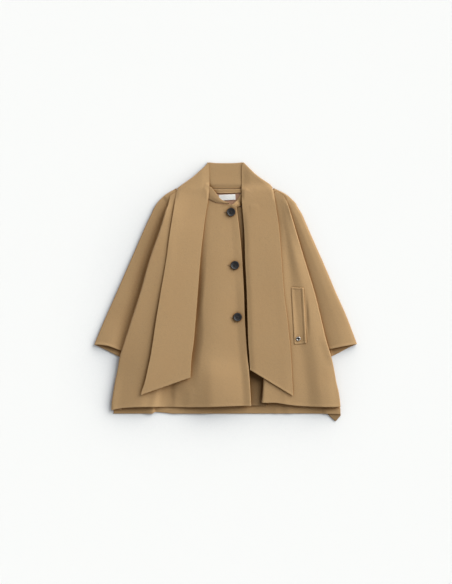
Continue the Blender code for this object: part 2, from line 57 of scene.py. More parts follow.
# ---------------------------------------------------------------- driving dimensions, in mm
CLOTH = 2.2  # wool coating, one layer
DOUBLE_CLOTH = 3.0  # the scarf collar is two layers thick
LINING = 1.0
GAP = 0.4  # between pieces that touch
STEP = 3.2  # spacing of the points on a piece of cloth
CELL = 2.0  # grid on which the height of the pile is kept
TABLE_HALF = 430.0  # half width of that grid
NARROW = 4.0  # widest dip that a stiff edge of cloth spans
FOLD_REACH = 14.0  # how far from a fold the cloth rises to make room for it
FOLD_ROWS = 3  # rows of a piece that give way to the fold beside them
HALF_WIDTH = 388.0  # middle to either cuff's tip
COLLAR_TOP = 383.3
NECK_LINE = 306.0  # where the ties leave the stand
SHOULDER = 285.0  # from here down the fronts' sides roll under
HEM_TIP = -383.3

BUTTON_RADIUS = 12.7
BUTTON_THICK = 4.6
HOLE_RADIUS = 1.15
HOLE_OFFSET = 2.6  # from the button's middle

# ---------------------------------------------------------------- the long edges, by station
LONG_EDGES = table_of(
    "y side_right side_left button_edge pleat"
    " tie_right_out tie_right_in tie_left_in tie_left_out",
    (306, -172, 172, 31, 62, -144, -47.8, 47.2, 140.5),
    (285, -181, 180.2, 31, 66, -146.5, -49.3, 47.6, 143.5),
    (265, -169, 182.5, 31, 70, -149.2, -52.1, 47.9, 146.5),
    (240, -176, 189.8, 33.8, 74, -153.3, -56.7, 49.9, 150.3),
    (182, -193.7, 206.9, 41.2, 81, -162.8, -64.7, 54.7, 157.7),
    (94, -224.2, 233.3, 48.8, 88, -174.6, -74.3, 57.5, 164.7),
    (0, -250.7, 262, 54, 95, -190.5, -81.6, 62.2, 171.7),
    (-94, -281, 285.3, 57.3, 101, -206, -89.1, 65, 183.1),
    (-155, -301.1, 300.2, 61.5, 106, -215, -94.7, 67.1, 189.3),
    (-192, -312.3, 311.7, 64.4, 108.5, -221.2, -99.9, 69.8, 192.4),
    (-230, -319, 320.3, 68.4, 111, -229.5, -102.4, 71.7, 194.7),
    (-266, -326.6, 326.6, 71, 111, -237.8, -103.4, 71.9, 196.7),
    (-302, -332.9, 334.9, 73.5, 108.5, -249, -103.6, 72, 198.8),
    (-337, -337, 339, 74.9, 105.5, -249, -103.6, 72, 199.1),
    (-349, -337, 340.4, 74.9, 105.5, -249, -103.6, 72, 199.1),
)

# ---------------------------------------------------------------- the short edges: (x, y)
RIGHT_FRONT_TOP = [
    (-165, 284), (-156, 290), (-147, 294), (-137, 291), (-112, 292), (-82, 290), (-60, 282), (-46.6, 271.3),
    (-37.5, 266.8), (-25.7, 262.1), (-6, 258.6), (31, 257.6),
]
RIGHT_FRONT_HEM = [
    (-337, -349), (-325, -345.5), (-296.5, -342), (-243, -339.4), (-110, -340.3), (0, -337), (43, -335.9),
    (74.9, -336.5),
]
LEFT_FRONT_TOP = [(66, 285), (82, 290), (112, 292), (132, 291), (144, 295), (154, 291), (164, 284)]
LEFT_FRONT_HEM = [
    (105.5, -326.5), (125, -326.5), (146, -326.5), (167, -330), (214, -336), (285, -338.8), (339, -338.8),
]
BACK_TOP = [
    (-177, 283), (-160, 292), (-146, 294.5), (-126, 296), (-104, 301.5), (-84, 303.6), (0, 303.6),
    (84, 303.6), (104, 301.5), (126, 296), (146, 294.5), (160, 292), (177, 283),
]
BACK_HEM = [
    (-333, -359.8), (-216.5, -359.8), (-208.5, -355), (-178, -357.5), (-158, -360), (232, -359.5),
    (300.9, -360.3), (340.3, -361.5),
]
TURNED_CORNER = [(296, -352), (300.9, -361.5), (324.8, HEM_TIP), (340.3, -365.4), (338, -352)]
SLEEVES = {
    "right": {
        "outer": [
            (-145, 306), (-154.5, 301), (-166, 294.5), (-181.5, 284), (-200.5, 265), (-211.5, 247.4),
            (-219.5, 229.7), (-236.5, 194.3), (-267.2, 123.5), (-298, 53), (-329.2, -18), (-360.8, -89),
            (-HALF_WIDTH, -153.8),
        ],
        "inner": [(-138, 288), (-146, 240), (-166, 182), (-195, 94), (-217, 0), (-240, -94), (-256, -160)],
        "upper_hem": [
            (-HALF_WIDTH, -155.3), (-367, -156.8), (-345, -160), (-321.6, -169), (-300, -177), (-256, -190),
        ],
        "lower_hem": [(-HALF_WIDTH, -156.2), (-367, -165.5), (-348, -174.5), (-311, -192.8), (-256, -214)],
    },
    "left": {
        "outer": [
            (141, 307), (148.5, 303.5), (161, 297.8), (181, 286.5), (204.4, 265), (214.5, 247.4),
            (225.4, 229.7), (241, 194.3), (264.3, 141.2), (295.6, 70.4), (325.4, -0.4), (357, -71.2),
            (HALF_WIDTH, -153),
        ],
        "inner": [(134, 290), (152, 240), (178, 182), (205, 94), (228, 0), (245, -94), (256, -160)],
        "upper_hem": [
            (HALF_WIDTH, -153.5), (367.6, -157.4), (345, -161), (320, -166.5), (300, -171), (256, -184),
        ],
        "lower_hem": [
            (HALF_WIDTH, -154.4), (373.5, -160.3), (354, -170), (334.5, -180.1), (311, -191.3), (256, -212),
        ],
    },
}
ROLL_RIGHT = [(-54.6, COLLAR_TOP), (-62, 372), (-81, 353.8), (-101.5, 336.6), (-129.5, 318), (-146, 306.4)]
ROLL_LEFT = [(54.6, COLLAR_TOP), (65.4, 372), (82.5, 353.8), (103.5, 336.6), (131, 318.5), (141, 308)]
TIE_RIGHT_END = [(-103.6, -252), (-249, -303.4)]
TIE_LEFT_END = [(72, -229.3), (199.1, -307.4)]
STAND_TOP = [(-54.6, COLLAR_TOP), (-30, 380.8), (0, 380.2), (30, 380.8), (54.6, COLLAR_TOP)]
STAND_FOOT = [(-146, 306.4), (-60, 305), (0, 304.4), (60, 305), (140.5, 308)]
NECKBAND_RIGHT = {
    "seam": [(-72, 292), (-60, 284), (-46.6, 272.6), (-37.5, 268), (-25.7, 263.3), (-6, 259.6), (12, 259)],
    "free": [
        (-55, 315), (-46.6, 311), (-39.2, 306), (-31.6, 295.4), (-22.4, 283.3), (-10.6, 271.3), (12, 262),
    ],
}
NECKBAND_LEFT = {
    "seam": [(76, 292), (66, 282), (56, 266), (48, 256), (33, 250)],
    "free": [(56, 302), (45.1, 290.7), (36.3, 275.7), (28.6, 265.4), (19, 256.5)],
}
NECKBAND_BACK = {"seam": [(-52, 304), (0, 303.4), (60, 304)], "free": [(-44, 291.5), (0, 291), (56, 292.5)]}
LINING_TOP = [(-62, 290.6), (0, 290), (62, 291.6)]
LINING_FOOT = [(-62, 242), (0, 236), (62, 242)]

# ---------------------------------------------------------------- small pieces
BUTTONS = {"top": (16.2, 235.0), "middle": (27.4, 78.3), "bottom": (35.4, -74.2)}
LABEL = {"centre": (4.6, 279.0), "size": (49.0, 16.5, 0.8), "turn_deg": 2.5}
WELT = [(192.9, 14.0), (229.6, 12.0), (238.4, -151.5), (202.0, -155.5)]  # corners, clockwise
WELT_THICK = 2.6
RIVET = (213.8, -137.8)
RIVET_RADIUS = 6.4

# ---------------------------------------------------------------- heights of the middle surfaces
# Each row is a station; each column is a place across the piece.
RIGHT_HEIGHTS = table_of(
    "y side tie_out under_tie tie_in flank crest button_edge",
    (300, 7, 7, 6, 6, 7, 8, 7.5),
    (273, 10.5, 11.5, 9.5, 7.5, 8.5, 9.5, 8.8),
    (240, 20, 18, 12.5, 10.5, 11.5, 12, 10.5),
    (182, 24, 22, 16, 13.5, 14.5, 14.5, 12.5),
    (94, 24.5, 25, 18.5, 13.5, 16.5, 17, 14),
    (0, 23.5, 24.5, 19, 11.5, 17.5, 18, 14.5),
    (-94, 20.5, 22, 18.5, 11, 17.5, 18.5, 15),
    (-190, 14, 21, 17.5, 9.5, 17.5, 19.5, 15.5),
    (-250, 9, 19, 11.5, 14, 20.5, 25.5, 17),
    (-300, 7.5, 16.5, 5.5, 13.5, 19.5, 25, 16.5),
    (-349, 6.5, 14.5, 4.5, 9.5, 15, 20.5, 14),
)
LEFT_HEIGHTS = table_of(
    "y pleat under_tie tie_edge beside_tie valley crest side",
    (300, 6, 6, 6, 6, 6, 6, 5),
    (240, 9, 9.5, 9.5, 9, 9.5, 11, 9.5),
    (182, 12.5, 13.5, 13.5, 12.5, 13, 15, 12.5),
    (94, 15.5, 17.5, 18, 17, 15.5, 18.5, 14),
    (0, 16.5, 19, 20, 19.5, 17.5, 19, 14),
    (-94, 17.5, 20, 20.5, 20, 17.5, 19, 14),
    (-190, 18, 19, 18.5, 17.5, 15.5, 18.5, 13),
    (-250, 18.5, 17.5, 16.5, 15.5, 13.5, 18, 12.5),
    (-300, 18.5, 16.5, 14.5, 13.5, 12, 17.5, 12),
    (-349, 16, 13.5, 12, 11.5, 10, 15, 10),
)
TIE_HEIGHTS = table_of(
    "y right_out right_in left_in left_out",
    (345, 9, 6, 6.2, 6),
    (318, 10, 8, 6.6, 7.4),
    (300, 11.5, 10.5, 10, 11),
    (285, 12.5, 11.5, 11.8, 12.5),
    (240, 17, 14, 13.6, 15),
    (182, 24, 19.5, 17, 18),
    (94, 28, 23.5, 21, 21.5),
    (0, 29.5, 26, 23, 23.5),
    (-94, 29.5, 26.5, 24.5, 24.5),
    (-190, 28.5, 25.5, 24.5, 23.5),
    (-250, 26.5, 23.5, 23, 20.5),
    (-310, 23, 20.5, 20.5, 17.5),
)

# Folds of the fronts: ridge from its upper to its lower end, half width and height.
RIGHT_FOLDS = [
    # x_top, y_top, x_low, y_low, half_width, height
    (-190, -215, -214, -345, 13, 3.4),
    (-158, -235, -168, -345, 12, -2.6),
    (-148, -285, -152, -345, 11, 0.9),
    (-102, -275, -105, -345, 12, 0.9),
    (40, 220, 62, -345, 12, -0.6),
]
LEFT_FOLDS = [
    (165, 120, 176, -325, 10, 0.8),
    (300, -180, 312, -340, 14, 0.8),
]


# ---------------------------------------------------------------- curves and patches
def curve_at(table, name, y):
    """Value of a table's column at the stations y, on a smooth curve."""
    stations = table[::-1]
    at, value = stations["y"], stations[name]
    slope = np.gradient(value, at)
    y = np.clip(y, at[0], at[-1])
    k = np.clip(np.searchsorted(at, y) - 1, 0, len(at) - 2)
    span = at[k + 1] - at[k]
    t = (y - at[k]) / span
    hold, swap = 1 + t**2 * (2 * t - 3), t**2 * (3 - 2 * t)
    leave, arrive = t * (1 - t) ** 2, t**2 * (t - 1)
    return hold * value[k] + swap * value[k + 1] + span * (leave * slope[k] + arrive * slope[k + 1])


def edge(name, y):
    """Where the named long edge crosses the stations y."""
    return curve_at(LONG_EDGES, name, y)


def across(x, places, heights):
    """Smooth curve through heights at places across a piece, with no overshoot between them."""
    rises = [(b - a) / (q - p) for a, b, p, q in zip(heights, heights[1:], places, places[1:])]
    slopes = [rises[0]]
    for a, b in zip(rises, rises[1:]):
        slopes.append(np.where(a * b > 0, 2 * a * b / np.where(a + b == 0, 1, a + b), 0))
    slopes.append(rises[-1])
    total = heights[0] + 0 * x
    for k in range(len(rises)):
        span = places[k + 1] - places[k]
        t = np.clip((x - places[k]) / span, 0, 1)
        swap = t**2 * (3 - 2 * t)
        bend = span * (t * (1 - t) ** 2 * slopes[k] + t**2 * (t - 1) * slopes[k + 1])
        value = heights[k] + (heights[k + 1] - heights[k]) * swap + bend
        total = np.where(x >= places[k], value, total)
    return total


def through(points, count, smooth=True):
    """Points spread evenly along the smooth curve, or the polyline, through the given ones."""
    points = np.array(points, float)
    if smooth and len(points) > 2:
        first, last = 2 * points[0] - points[1], 2 * points[-1] - points[-2]
        padded = np.vstack([first, points, last])
        t = np.linspace(0, 1, 12, endpoint=False)[:, None]
        spans = []
        for a, b, c, d in zip(padded, padded[1:], padded[2:], padded[3:]):
            bend = 2 * a - 5 * b + 4 * c - d
            spans.append(b + 0.5 * t * (c - a + t * (bend + t * (3 * (b - c) + d - a))))
        points = np.vstack([*spans, points[-1:]])
    steps = np.hypot(*np.diff(points, axis=0).T)
    run = np.concatenate([[0], np.cumsum(steps)])
    wanted = np.linspace(0, run[-1], count)
    return np.column_stack([np.interp(wanted, run, points[:, i]) for i in range(2)])


def side(name, top, low, count, shift=0.0):
    """Points down a long edge from station top to station low, moved sideways by shift."""
    y = np.linspace(top, low, count)
    return np.column_stack([edge(name, y) + shift, y])


def patch(top, low, first, last):
    """Grid of points inside four edges: rows run down from top to low, columns from first to last."""
    u = np.linspace(0, 1, len(top))[None, :, None]
    v = np.linspace(0, 1, len(first))[:, None, None]
    rows = (1 - v) * top[None] + v * low[None]
    columns = (1 - u) * first[:, None] + u * last[:, None]
    corners = (1 - v) * ((1 - u) * top[0] + u * top[-1]) + v * ((1 - u) * low[0] + u * low[-1])
    return rows + columns - corners


def strip(top, low, rows):
    """Grid of points between two curves, with straight ends."""
    return patch(top, low, *(through([top[end], low[end]], rows) for end in (0, -1)))


def met(curve, first, last):
    """A curve moved, most at its ends, so that it runs from first to last."""
    t = np.linspace(0, 1, len(curve))[:, None]
    return curve + (first - curve[0]) * np.linspace(1, 0, len(curve))[:, None] + (last - curve[-1]) * t


def spans(length):
    """How many points a run of that length takes."""
    return max(3, int(round(length / STEP)) + 1)


def bell(distance, width):
    return np.exp(-((distance / width) ** 2))


def ease(t):
    """Rises smoothly from 0 to 1 as t does."""
    t = np.clip(t, 0, 1)
    return t * t * (3 - 2 * t)


def from_edge(flat, which):
    """Distance of each point of a flat grid from its own row's or column's end at that edge."""
    ends = {"top": flat[:1], "low": flat[-1:], "first": flat[:, :1], "last": flat[:, -1:]}
    return np.hypot(*np.moveaxis(flat - ends[which], 2, 0))


def inward_of(curve, towards):
    """Unit vectors square to a curve, on the side on which the point towards lies."""
    along = np.gradient(curve, axis=0)
    across = np.column_stack([-along[:, 1], along[:, 0]])
    across /= np.hypot(*across.T)[:, None]
    flip = np.sign(((np.array(towards) - curve) * across).sum(axis=1))
    return across * flip[:, None]


def folds(x, y, table):
    """Height that a table of folds adds at (x, y)."""
    total = np.zeros_like(x)
    for x_top, y_top, x_low, y_low, half_width, height in table:
        along = (y_top - y) / (y_top - y_low)
        middle = x_top + (x_low - x_top) * along
        total += height * ease(along * 3) * bell(x - middle, half_width)
    return total


def waver(x, y, size, seed):
    """Soft unevenness of a laid cloth, between about -1 and 1, in waves of the given size."""
    total = np.zeros_like(x)
    for k in range(5):
        turn = seed * 1.7 + k * 2.399
        length = size * (0.7 + 0.25 * k)
        phase = seed * 3.1 + k * 1.3
        total += np.sin(math.tau * (x * math.cos(turn) + y * math.sin(turn)) / length + phase)
    return total / 3.2


# ---------------------------------------------------------------- the pile
def inside_of(x, y, corners, sides=(0, 1, 2, 3)):
    """How far inside the given sides of a clockwise outline the points are; less than 0 outside."""
    nearest = np.full_like(x, 1e9)
    for k in sides:
        (x_from, y_from), (x_to, y_to) = corners[k], corners[(k + 1) % len(corners)]
        length = math.hypot(x_to - x_from, y_to - y_from)
        off = ((x - x_from) * (y_to - y_from) - (y - y_from) * (x_to - x_from)) / length
        nearest = np.minimum(nearest, off)
    return nearest


def widest(field, reach):
    """Largest value within reach cells either way."""
    for axis in (0, 1):
        found = field
        for shift in range(-reach, reach + 1):
            found = np.maximum(found, np.roll(field, shift, axis))
        field = found
    return field


def mean(field, reach):
    """Average within reach cells either way."""
    for axis in (0, 1):
        field = sum(np.roll(field, shift, axis) for shift in range(-reach, reach + 1)) / (2 * reach + 1)
    return field


def window(values, reach):
    """For each value, the values within reach of it."""
    return np.lib.stride_tricks.sliding_window_view(np.pad(values, reach, "edge"), 2 * reach + 1)


def eased_along(values, reach=9):
    """Values raised to the largest near them, then averaged, so that no step is left."""
    return window(window(values, reach).max(axis=1), reach // 2).mean(axis=1)


class Pile:
    """Height of the top of everything laid so far, on a square grid."""

    def __init__(self):
        self.half = int(TABLE_HALF / CELL)
        self.top = np.zeros((2 * self.half + 1, 2 * self.half + 1))

    def add(self, grid, wall):
        """Takes in a grid of middle points of a laid piece."""
        for axis in (0, 1):
            count = grid.shape[axis]
            fine = np.linspace(0, count - 1, 3 * count - 2)
            low = np.minimum(fine.astype(int), count - 2)
            shape = [1, 1, 1]
            shape[axis] = len(fine)
            part = (fine - low).reshape(shape)
            grid = (1 - part) * np.take(grid, low, axis) + part * np.take(grid, low + 1, axis)
        i, j = np.moveaxis(np.rint(grid[..., :2] / CELL).astype(int) + self.half, 2, 0)
        np.maximum.at(self.top, (i, j), grid[..., 2] + wall / 2)

    def height(self, x, y, reach=6.0):
        """Height at which a cloth lies that spans dips narrower than reach."""
        cells = int(round(reach / CELL))
        field = self.top
        if cells:
            half = cells // 2
            field = mean(mean(widest(field, cells), half), cells - half)
        at_x, at_y = x / CELL + self.half, y / CELL + self.half
        i, j = at_x.astype(int), at_y.astype(int)
        u, v = at_x - i, at_y - j
        low = (1 - u) * field[i, j] + u * field[i + 1, j]
        high = (1 - u) * field[i, j + 1] + u * field[i + 1, j + 1]
        return (1 - v) * low + v * high


def rest(pile, flat, want, wall, reach=6.0, soft=0.8):
    """Grid of middle points at the wanted heights, or higher where it lies on the pile."""
    floor = pile.height(flat[..., 0], flat[..., 1], reach) + GAP + wall / 2
    height = floor + soft * np.logaddexp(0, (want - floor) / soft)
    return np.dstack([flat, height])


# ---------------------------------------------------------------- shells
def shell(name, grid, wall, look, rim=4, thin=None):
    """Closed thin shell with rounded edges about a grid of middle points.

    thin, a number for each point, narrows the wall where one piece fades into another.
    """
    rows, columns = grid.shape[:2]
    walls = wall * (np.ones((rows * columns, 1)) if thin is None else thin.reshape(-1, 1))
    normal = np.cross(np.gradient(grid, axis=1), np.gradient(grid, axis=0))
    normal /= np.maximum(np.linalg.norm(normal, axis=2, keepdims=True), 1e-9)
    at = np.arange(rows * columns).reshape(rows, columns)
    loop = np.concatenate([at[0, :-1], at[:-1, -1], at[-1, :0:-1], at[:0:-1, 0]])
    points, normals = grid.reshape(-1, 3), normal.reshape(-1, 3)
    i, j = np.divmod(loop, columns)
    inside = points[at[i.clip(1, rows - 2), j.clip(1, columns - 2)]]
    edge_at, edge_normal = points[loop], normals[loop]
    along = np.roll(edge_at, -1, axis=0) - np.roll(edge_at, 1, axis=0)
    out = np.cross(along, edge_normal)
    out /= np.maximum(np.linalg.norm(out, axis=1, keepdims=True), 1e-9)
    out *= np.sign(((edge_at - inside) * out).sum(axis=1))[:, None]
    half, loop_half = walls / 2, walls[loop] / 2
    base = edge_at - out * loop_half
    upper, lower = points + normals * half, points - normals * half
    rings = []
    for k in range(rim + 1):
        turn = math.pi * (0.5 - k / rim)
        rings.append(base + (out * math.cos(turn) + edge_normal * math.sin(turn)) * loop_half)
    upper[loop], lower[loop] = rings[0], rings[-1]
    count = rows * columns
    numbers = [loop]
    numbers += [2 * count + len(loop) * k + np.arange(len(loop)) for k in range(rim - 1)]
    numbers.append(loop + count)
    quads = np.stack([at[:-1, :-1], at[1:, :-1], at[1:, 1:], at[:-1, 1:]], axis=-1).reshape(-1, 4)
    faces = [quads, quads[:, ::-1] + count]
    for a, b in zip(numbers, numbers[1:]):
        faces.append(np.stack([a, np.roll(a, -1), np.roll(b, -1), b], axis=1))
    return mesh_piece(name, np.concatenate([upper, lower, *rings[1:-1]]), np.concatenate(faces), look)


def mesh_piece(name, points, faces, look):
    """An object from points in mm and faces, turned so that its faces look outwards."""
    points = np.array(points, float)
    faces = np.array(faces)
    first, second, third = (points[faces[:, k]] for k in range(3))
    fourth = points[faces[:, -1]]
    volume = (first * np.cross(second, third)).sum() + (first * np.cross(third, fourth)).sum()
    if volume < 0:
        faces = faces[:, ::-1]
    return add_object(name, points, faces.tolist(), look)


def add_object(name, points, faces, look):
    """A smooth object in the scene from points in mm and faces."""
    mesh = bpy.data.meshes.new(name)
    mesh.from_pydata((np.array(points, float) * MM).tolist(), [], faces)
    mesh.shade_smooth()
    mesh.materials.append(look)
    obj = bpy.data.objects.new(name, mesh)
    bpy.context.scene.collection.objects.link(obj)
    return obj


def nose(pile, grid, outline, inward, radius, under, wall, steps=6):
    """Columns that carry a grid's first column round a fold and back under it, down to the pile.

    The fold's outside is on the outline. The first column is already radius inside it.
    """
    top = grid[:, 0, 2]
    low_run = np.linspace(under, 0, spans(under))[:, None, None]
    centre = outline + inward * (wall / 2 + radius)[:, None]
    flats = centre[None] + inward[None] * low_run
    part = ease((low_run[..., 0] / under) ** 0.8)
    turn_low = top - 2 * radius
    floor = pile.height(flats[..., 0], flats[..., 1], NARROW) + GAP + wall / 2
    sunk = np.maximum(turn_low[None] * (1 - part) + floor * part, floor)
    sunk = np.minimum(sunk, np.maximum(turn_low, floor[-1]))
    columns = [np.column_stack([flats[k], sunk[k]]) for k in range(len(flats))]
    for k in range(1, steps):
        turn = math.pi * k / steps
        at = centre - inward * (radius * math.sin(turn))[:, None]
        columns.append(np.column_stack([at, sunk[-1] + (top - sunk[-1]) * (1 - math.cos(turn)) / 2]))
    return np.concatenate([np.stack(columns, axis=1), grid], axis=1)


# ---------------------------------------------------------------- materials
def feed(tree, node, inputs):
    """Links each input that is given a socket, and sets each that is given a value."""
    for key, value in inputs.items():
        if isinstance(value, bpy.types.NodeSocket):
            tree.links.new(value, node.inputs[key])
        else:
            node.inputs[key].default_value = value


def add_node(tree, kind, inputs=None, **settings):
    node = tree.nodes.new("ShaderNode" + kind)
    for key, value in settings.items():
        setattr(node, key, value)
    feed(tree, node, inputs or {})
    return node


def nodes_of(name):
    """A new material, its nodes, its shader and where a point lies in its object."""
    made = bpy.data.materials.new(name)
    made.use_nodes = True
    tree = made.node_tree
    return made, tree, tree.nodes["Principled BSDF"], add_node(tree, "TexCoord").outputs["Object"]


def noise(tree, at, scale, detail=3.0, rough=0.55, stretch=None):
    if stretch:
        at = add_node(tree, "Mapping", {"Vector": at, "Scale": stretch}).outputs["Vector"]
    inputs = {"Vector": at, "Scale": scale, "Detail": detail, "Roughness": rough}
    return add_node(tree, "TexNoise", inputs).outputs["Fac"]


def waves(tree, at, axis, scale, distortion=0.0, detail=2.0):
    inputs = {"Vector": at, "Scale": scale, "Distortion": distortion, "Detail": detail}
    return add_node(tree, "TexWave", inputs, bands_direction=axis).outputs["Fac"]


def mix(tree, amount, a, b, blend="MIX"):
    inputs = {"Factor": amount, "A": a, "B": b}
    return add_node(tree, "Mix", inputs, data_type="RGBA", blend_type=blend).outputs["Result"]


def ramp(tree, value, low, high):
    """Rises smoothly from 0 to 1 as the value goes from low to high."""
    inputs = {"Value": value, "From Min": low, "From Max": high}
    return add_node(tree, "MapRange", inputs, interpolation_type="SMOOTHSTEP").outputs["Result"]


def between(tree, value, low, high):
    """Low where the value is 0 and high where it is 1."""
    return add_node(tree, "MapRange", {"Value": value, "To Min": low, "To Max": high}).outputs["Result"]


def figured(tree, operation, *values):
    return add_node(tree, "Math", dict(enumerate(values)), operation=operation).outputs[0]


def relief(tree, *layers):
    """Normal of bumps (height, strength, distance in metres), each one on the bumps before it."""
    below = {}
    for height, strength, distance in layers:
        inputs = {"Height": height, "Strength": strength, "Distance": distance}
        below = {"Normal": add_node(tree, "Bump", {**inputs, **below}).outputs["Normal"]}
    return below["Normal"]


def rgba(colour, bright=1.0):
    return (*(c * bright for c in colour), 1.0)


def tinted(colour, tint):
    return rgba([c * t for c, t in zip(colour, tint)])


def paint_hollow_shade(tree, shade):
    """Paints shade into a colour: darker and warmer where other cloth stands close, in hollows and creases.
    """
    opened = add_node(tree, "AmbientOcclusion", {"Distance": PAINTED_HOLLOW_REACH}, samples=8).outputs["AO"]
    painted_shade_colour = mix(tree, 1.0, shade, rgba(PAINTED_HOLLOW_TINT), "MULTIPLY")
    return mix(tree, ramp(tree, opened, 0.45, 1.0), painted_shade_colour, shade)


def wool(name, colour):
    """Felted, brushed wool: a mottled mix of fibres with a short nap, with painted shade in its hollows."""
    made, tree, shader, at = nodes_of(name)
    fibres = noise(tree, at, 950, 4.0, 0.65, (1.0, 0.45, 1.0))
    shade = mix(tree, ramp(tree, fibres, 0.3, 0.7), rgba(colour, 0.86), rgba(colour, 1.13))
    mottle = ramp(tree, noise(tree, at, 210), 0.35, 0.68)
    shade = mix(tree, mottle, shade, tinted(colour, (1.05, 1.04, 1.0)))
    cloud = figured(tree, "MULTIPLY", ramp(tree, noise(tree, at, 14, 2.0), 0.35, 0.7), 0.3)
    shade = mix(tree, cloud, shade, tinted(colour, (1.03, 0.985, 0.94)))
    nap = noise(tree, at, 620, 5.0, 0.7, (1.0, 0.6, 1.0))
    feed(tree, shader, {
        # base colour with painted shade where other cloth stands close
        "Base Color": paint_hollow_shade(tree, shade),
        "Normal": relief(tree, (nap, 0.35, 0.0006), (noise(tree, at, 90), 0.22, 0.0012)),
        "Roughness": 0.95,
        "Specular IOR Level": 0.15,
        "Sheen Weight": 0.12,
        "Sheen Roughness": 0.5,
        "Sheen Tint": (1.0, 0.9, 0.75, 1.0),
    })
    return made


def satin(name, colour):
    """Smooth twill lining: fine slanted ribs with a soft gloss."""
    made, tree, shader, at = nodes_of(name)
    slanted = add_node(tree, "Mapping", {"Vector": at, "Rotation": (0, 0, math.radians(35))})
    ribs = waves(tree, slanted.outputs["Vector"], "X", 420.0, 0.6, 1.0)
    cloud = ramp(tree, noise(tree, at, 60), 0.3, 0.7)
    shade = mix(tree, cloud, rgba(colour, 0.9), rgba(colour, 1.1))
    shade = mix(tree, ribs, shade, rgba(colour, 0.82))
    bumps = relief(tree, (ribs, 0.25, 0.0003))
    feed(tree, shader, {"Base Color": shade, "Normal": bumps, "Roughness": 0.5})
    return made


def woven(name, colour):
    """Fine woven tape."""
    made, tree, shader, at = nodes_of(name)
    over = figured(tree, "MULTIPLY", waves(tree, at, "X", 700.0), waves(tree, at, "Y", 560.0))
    shade = mix(tree, over, rgba(colour, 0.9), rgba(colour, 1.04))
    bumps = relief(tree, (over, 0.4, 0.0003))
    feed(tree, shader, {"Base Color": shade, "Normal": bumps, "Roughness": 0.7})
    return made


def horn(name, colour):
    """Near-black moulded button with faint cloudy streaks."""
    made, tree, shader, at = nodes_of(name)
    streaks = ramp(tree, noise(tree, at, 120, 4.0, 0.6, (1.0, 3.0, 1.0)), 0.4, 0.75)
    feed(tree, shader, {
        "Base Color": mix(tree, streaks, rgba(colour, 0.8), rgba(colour, 1.9)),
        "Normal": relief(tree, (noise(tree, at, 700), 0.08, 0.0004)),
        "Roughness": between(tree, noise(tree, at, 300), 0.46, 0.62),
        "Specular IOR Level": 0.35,
    })
    return made


def metal(name, colour):
    """Satin steel with an uneven grain."""
    made, tree, shader, at = nodes_of(name)
    grain = noise(tree, at, 500, 4.0, 0.6)
    shade = mix(tree, grain, rgba(colour, 0.85), rgba(colour, 1.1))
    worn = between(tree, grain, 0.25, 0.45)
    feed(tree, shader, {"Base Color": shade, "Roughness": worn, "Metallic": 1.0})
    return made


def thread(name, colour):
    """Twisted sewing thread."""
    made, tree, shader, at = nodes_of(name)
    twist = noise(tree, at, 1400)
    shade = mix(tree, twist, rgba(colour, 0.7), rgba(colour, 1.2))
    bumps = relief(tree, (twist, 0.5, 0.0003))
    feed(tree, shader, {"Base Color": shade, "Normal": bumps, "Roughness": 0.75})
    return made


# ---------------------------------------------------------------- declaring pieces
def declare(piece, node, slot, flat=None, area=None, held="laid", rests_on=(), with_pieces=()):
    """Ties a piece to the frame. flat (the cut's size in mm) and area (its flat area in square mm) are not
    used.
    """
    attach(piece, "root")
    if node:
        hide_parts(node)
    for part in with_pieces:
        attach(part, "root")


def lay(pile, node, grid, wall, look, cut, slot="camel_wool", taken=None, rim=4, thin=None, **sheet):
    """Lays a piece of cloth on the pile, where it takes up its wall or the height taken."""
    pile.add(grid, wall if taken is None else taken)
    declare(shell(f"{node}_cloth", grid, wall, look, rim, thin), node, slot, cut, **sheet)


# ---------------------------------------------------------------- the back and the neck
BACK_WAVES = [(1.1, 150, 11), (1.4, -62, 16), (0.9, -150, 20), (1.6, 186, 13), (2.2, -84, 36)]


def make_back(pile, look, inside):
    """The back lies flat. Its hem shows below the fronts', with a pleat and a turned corner."""
    rows, columns = spans(650), spans(660)
    top, low = through(BACK_TOP, columns), through(BACK_HEM, columns, smooth=False)
    first = side("side_right", 283, -359.8, rows, shift=6)
    last = side("side_left", 283, -361.5, rows, shift=-1)
    first[0], first[-1], last[0], last[-1] = top[0], low[0], top[-1], low[-1]
    flat = patch(top, low, first, last)
    x, y = flat[..., 0], flat[..., 1]
    near_hem = ease((-290 - y) / 50)
    pleat = 4.2 * ease((x + 250) / 34) * (x < -213) + 4.2 * ease((-208.5 - x) / 4.5) * (x >= -213)
    ripples = sum(height * bell(x - middle, width) for height, middle, width in BACK_WAVES)
    corner = 3.0 * ease((x - 284) / 14) * ease((-330 - y) / 25)
    height = CLOTH / 2 + near_hem * (pleat + ripples) + corner
    grid = np.dstack([flat, height])
    pile.add(grid, CLOTH)
    back = shell("back_cloth", grid, CLOTH, look)
    rim = np.array(TURNED_CORNER)
    turned = strip(through(rim[[0, 4]], 12), through(rim[1:4], 12, smooth=False), 9)
    # the turned corner is drawn in the darker camel: the cloth's inner face, with painted shade
    corner = shell("back_corner", np.dstack([turned, np.full(turned.shape[:2], CLOTH / 2)]), CLOTH, inside)
    declare(back, "back", "camel_wool", (690, 680), 375000, rests_on=["floor"], with_pieces=[corner])


def make_lining(pile, look):
    """The little of the lining that shows inside the back's neck."""
    rows, columns = spans(54), spans(124)
    flat = strip(through(LINING_TOP, columns), through(LINING_FOOT, columns), rows)
    want = 0.5 * waver(flat[..., 0], flat[..., 1], 40, 3)
    grid = rest(pile, flat, want, LINING, reach=2.0)
    lay(pile, "lining", grid, LINING, look, (124, 56), "lining", rests_on=["back_cloth"])


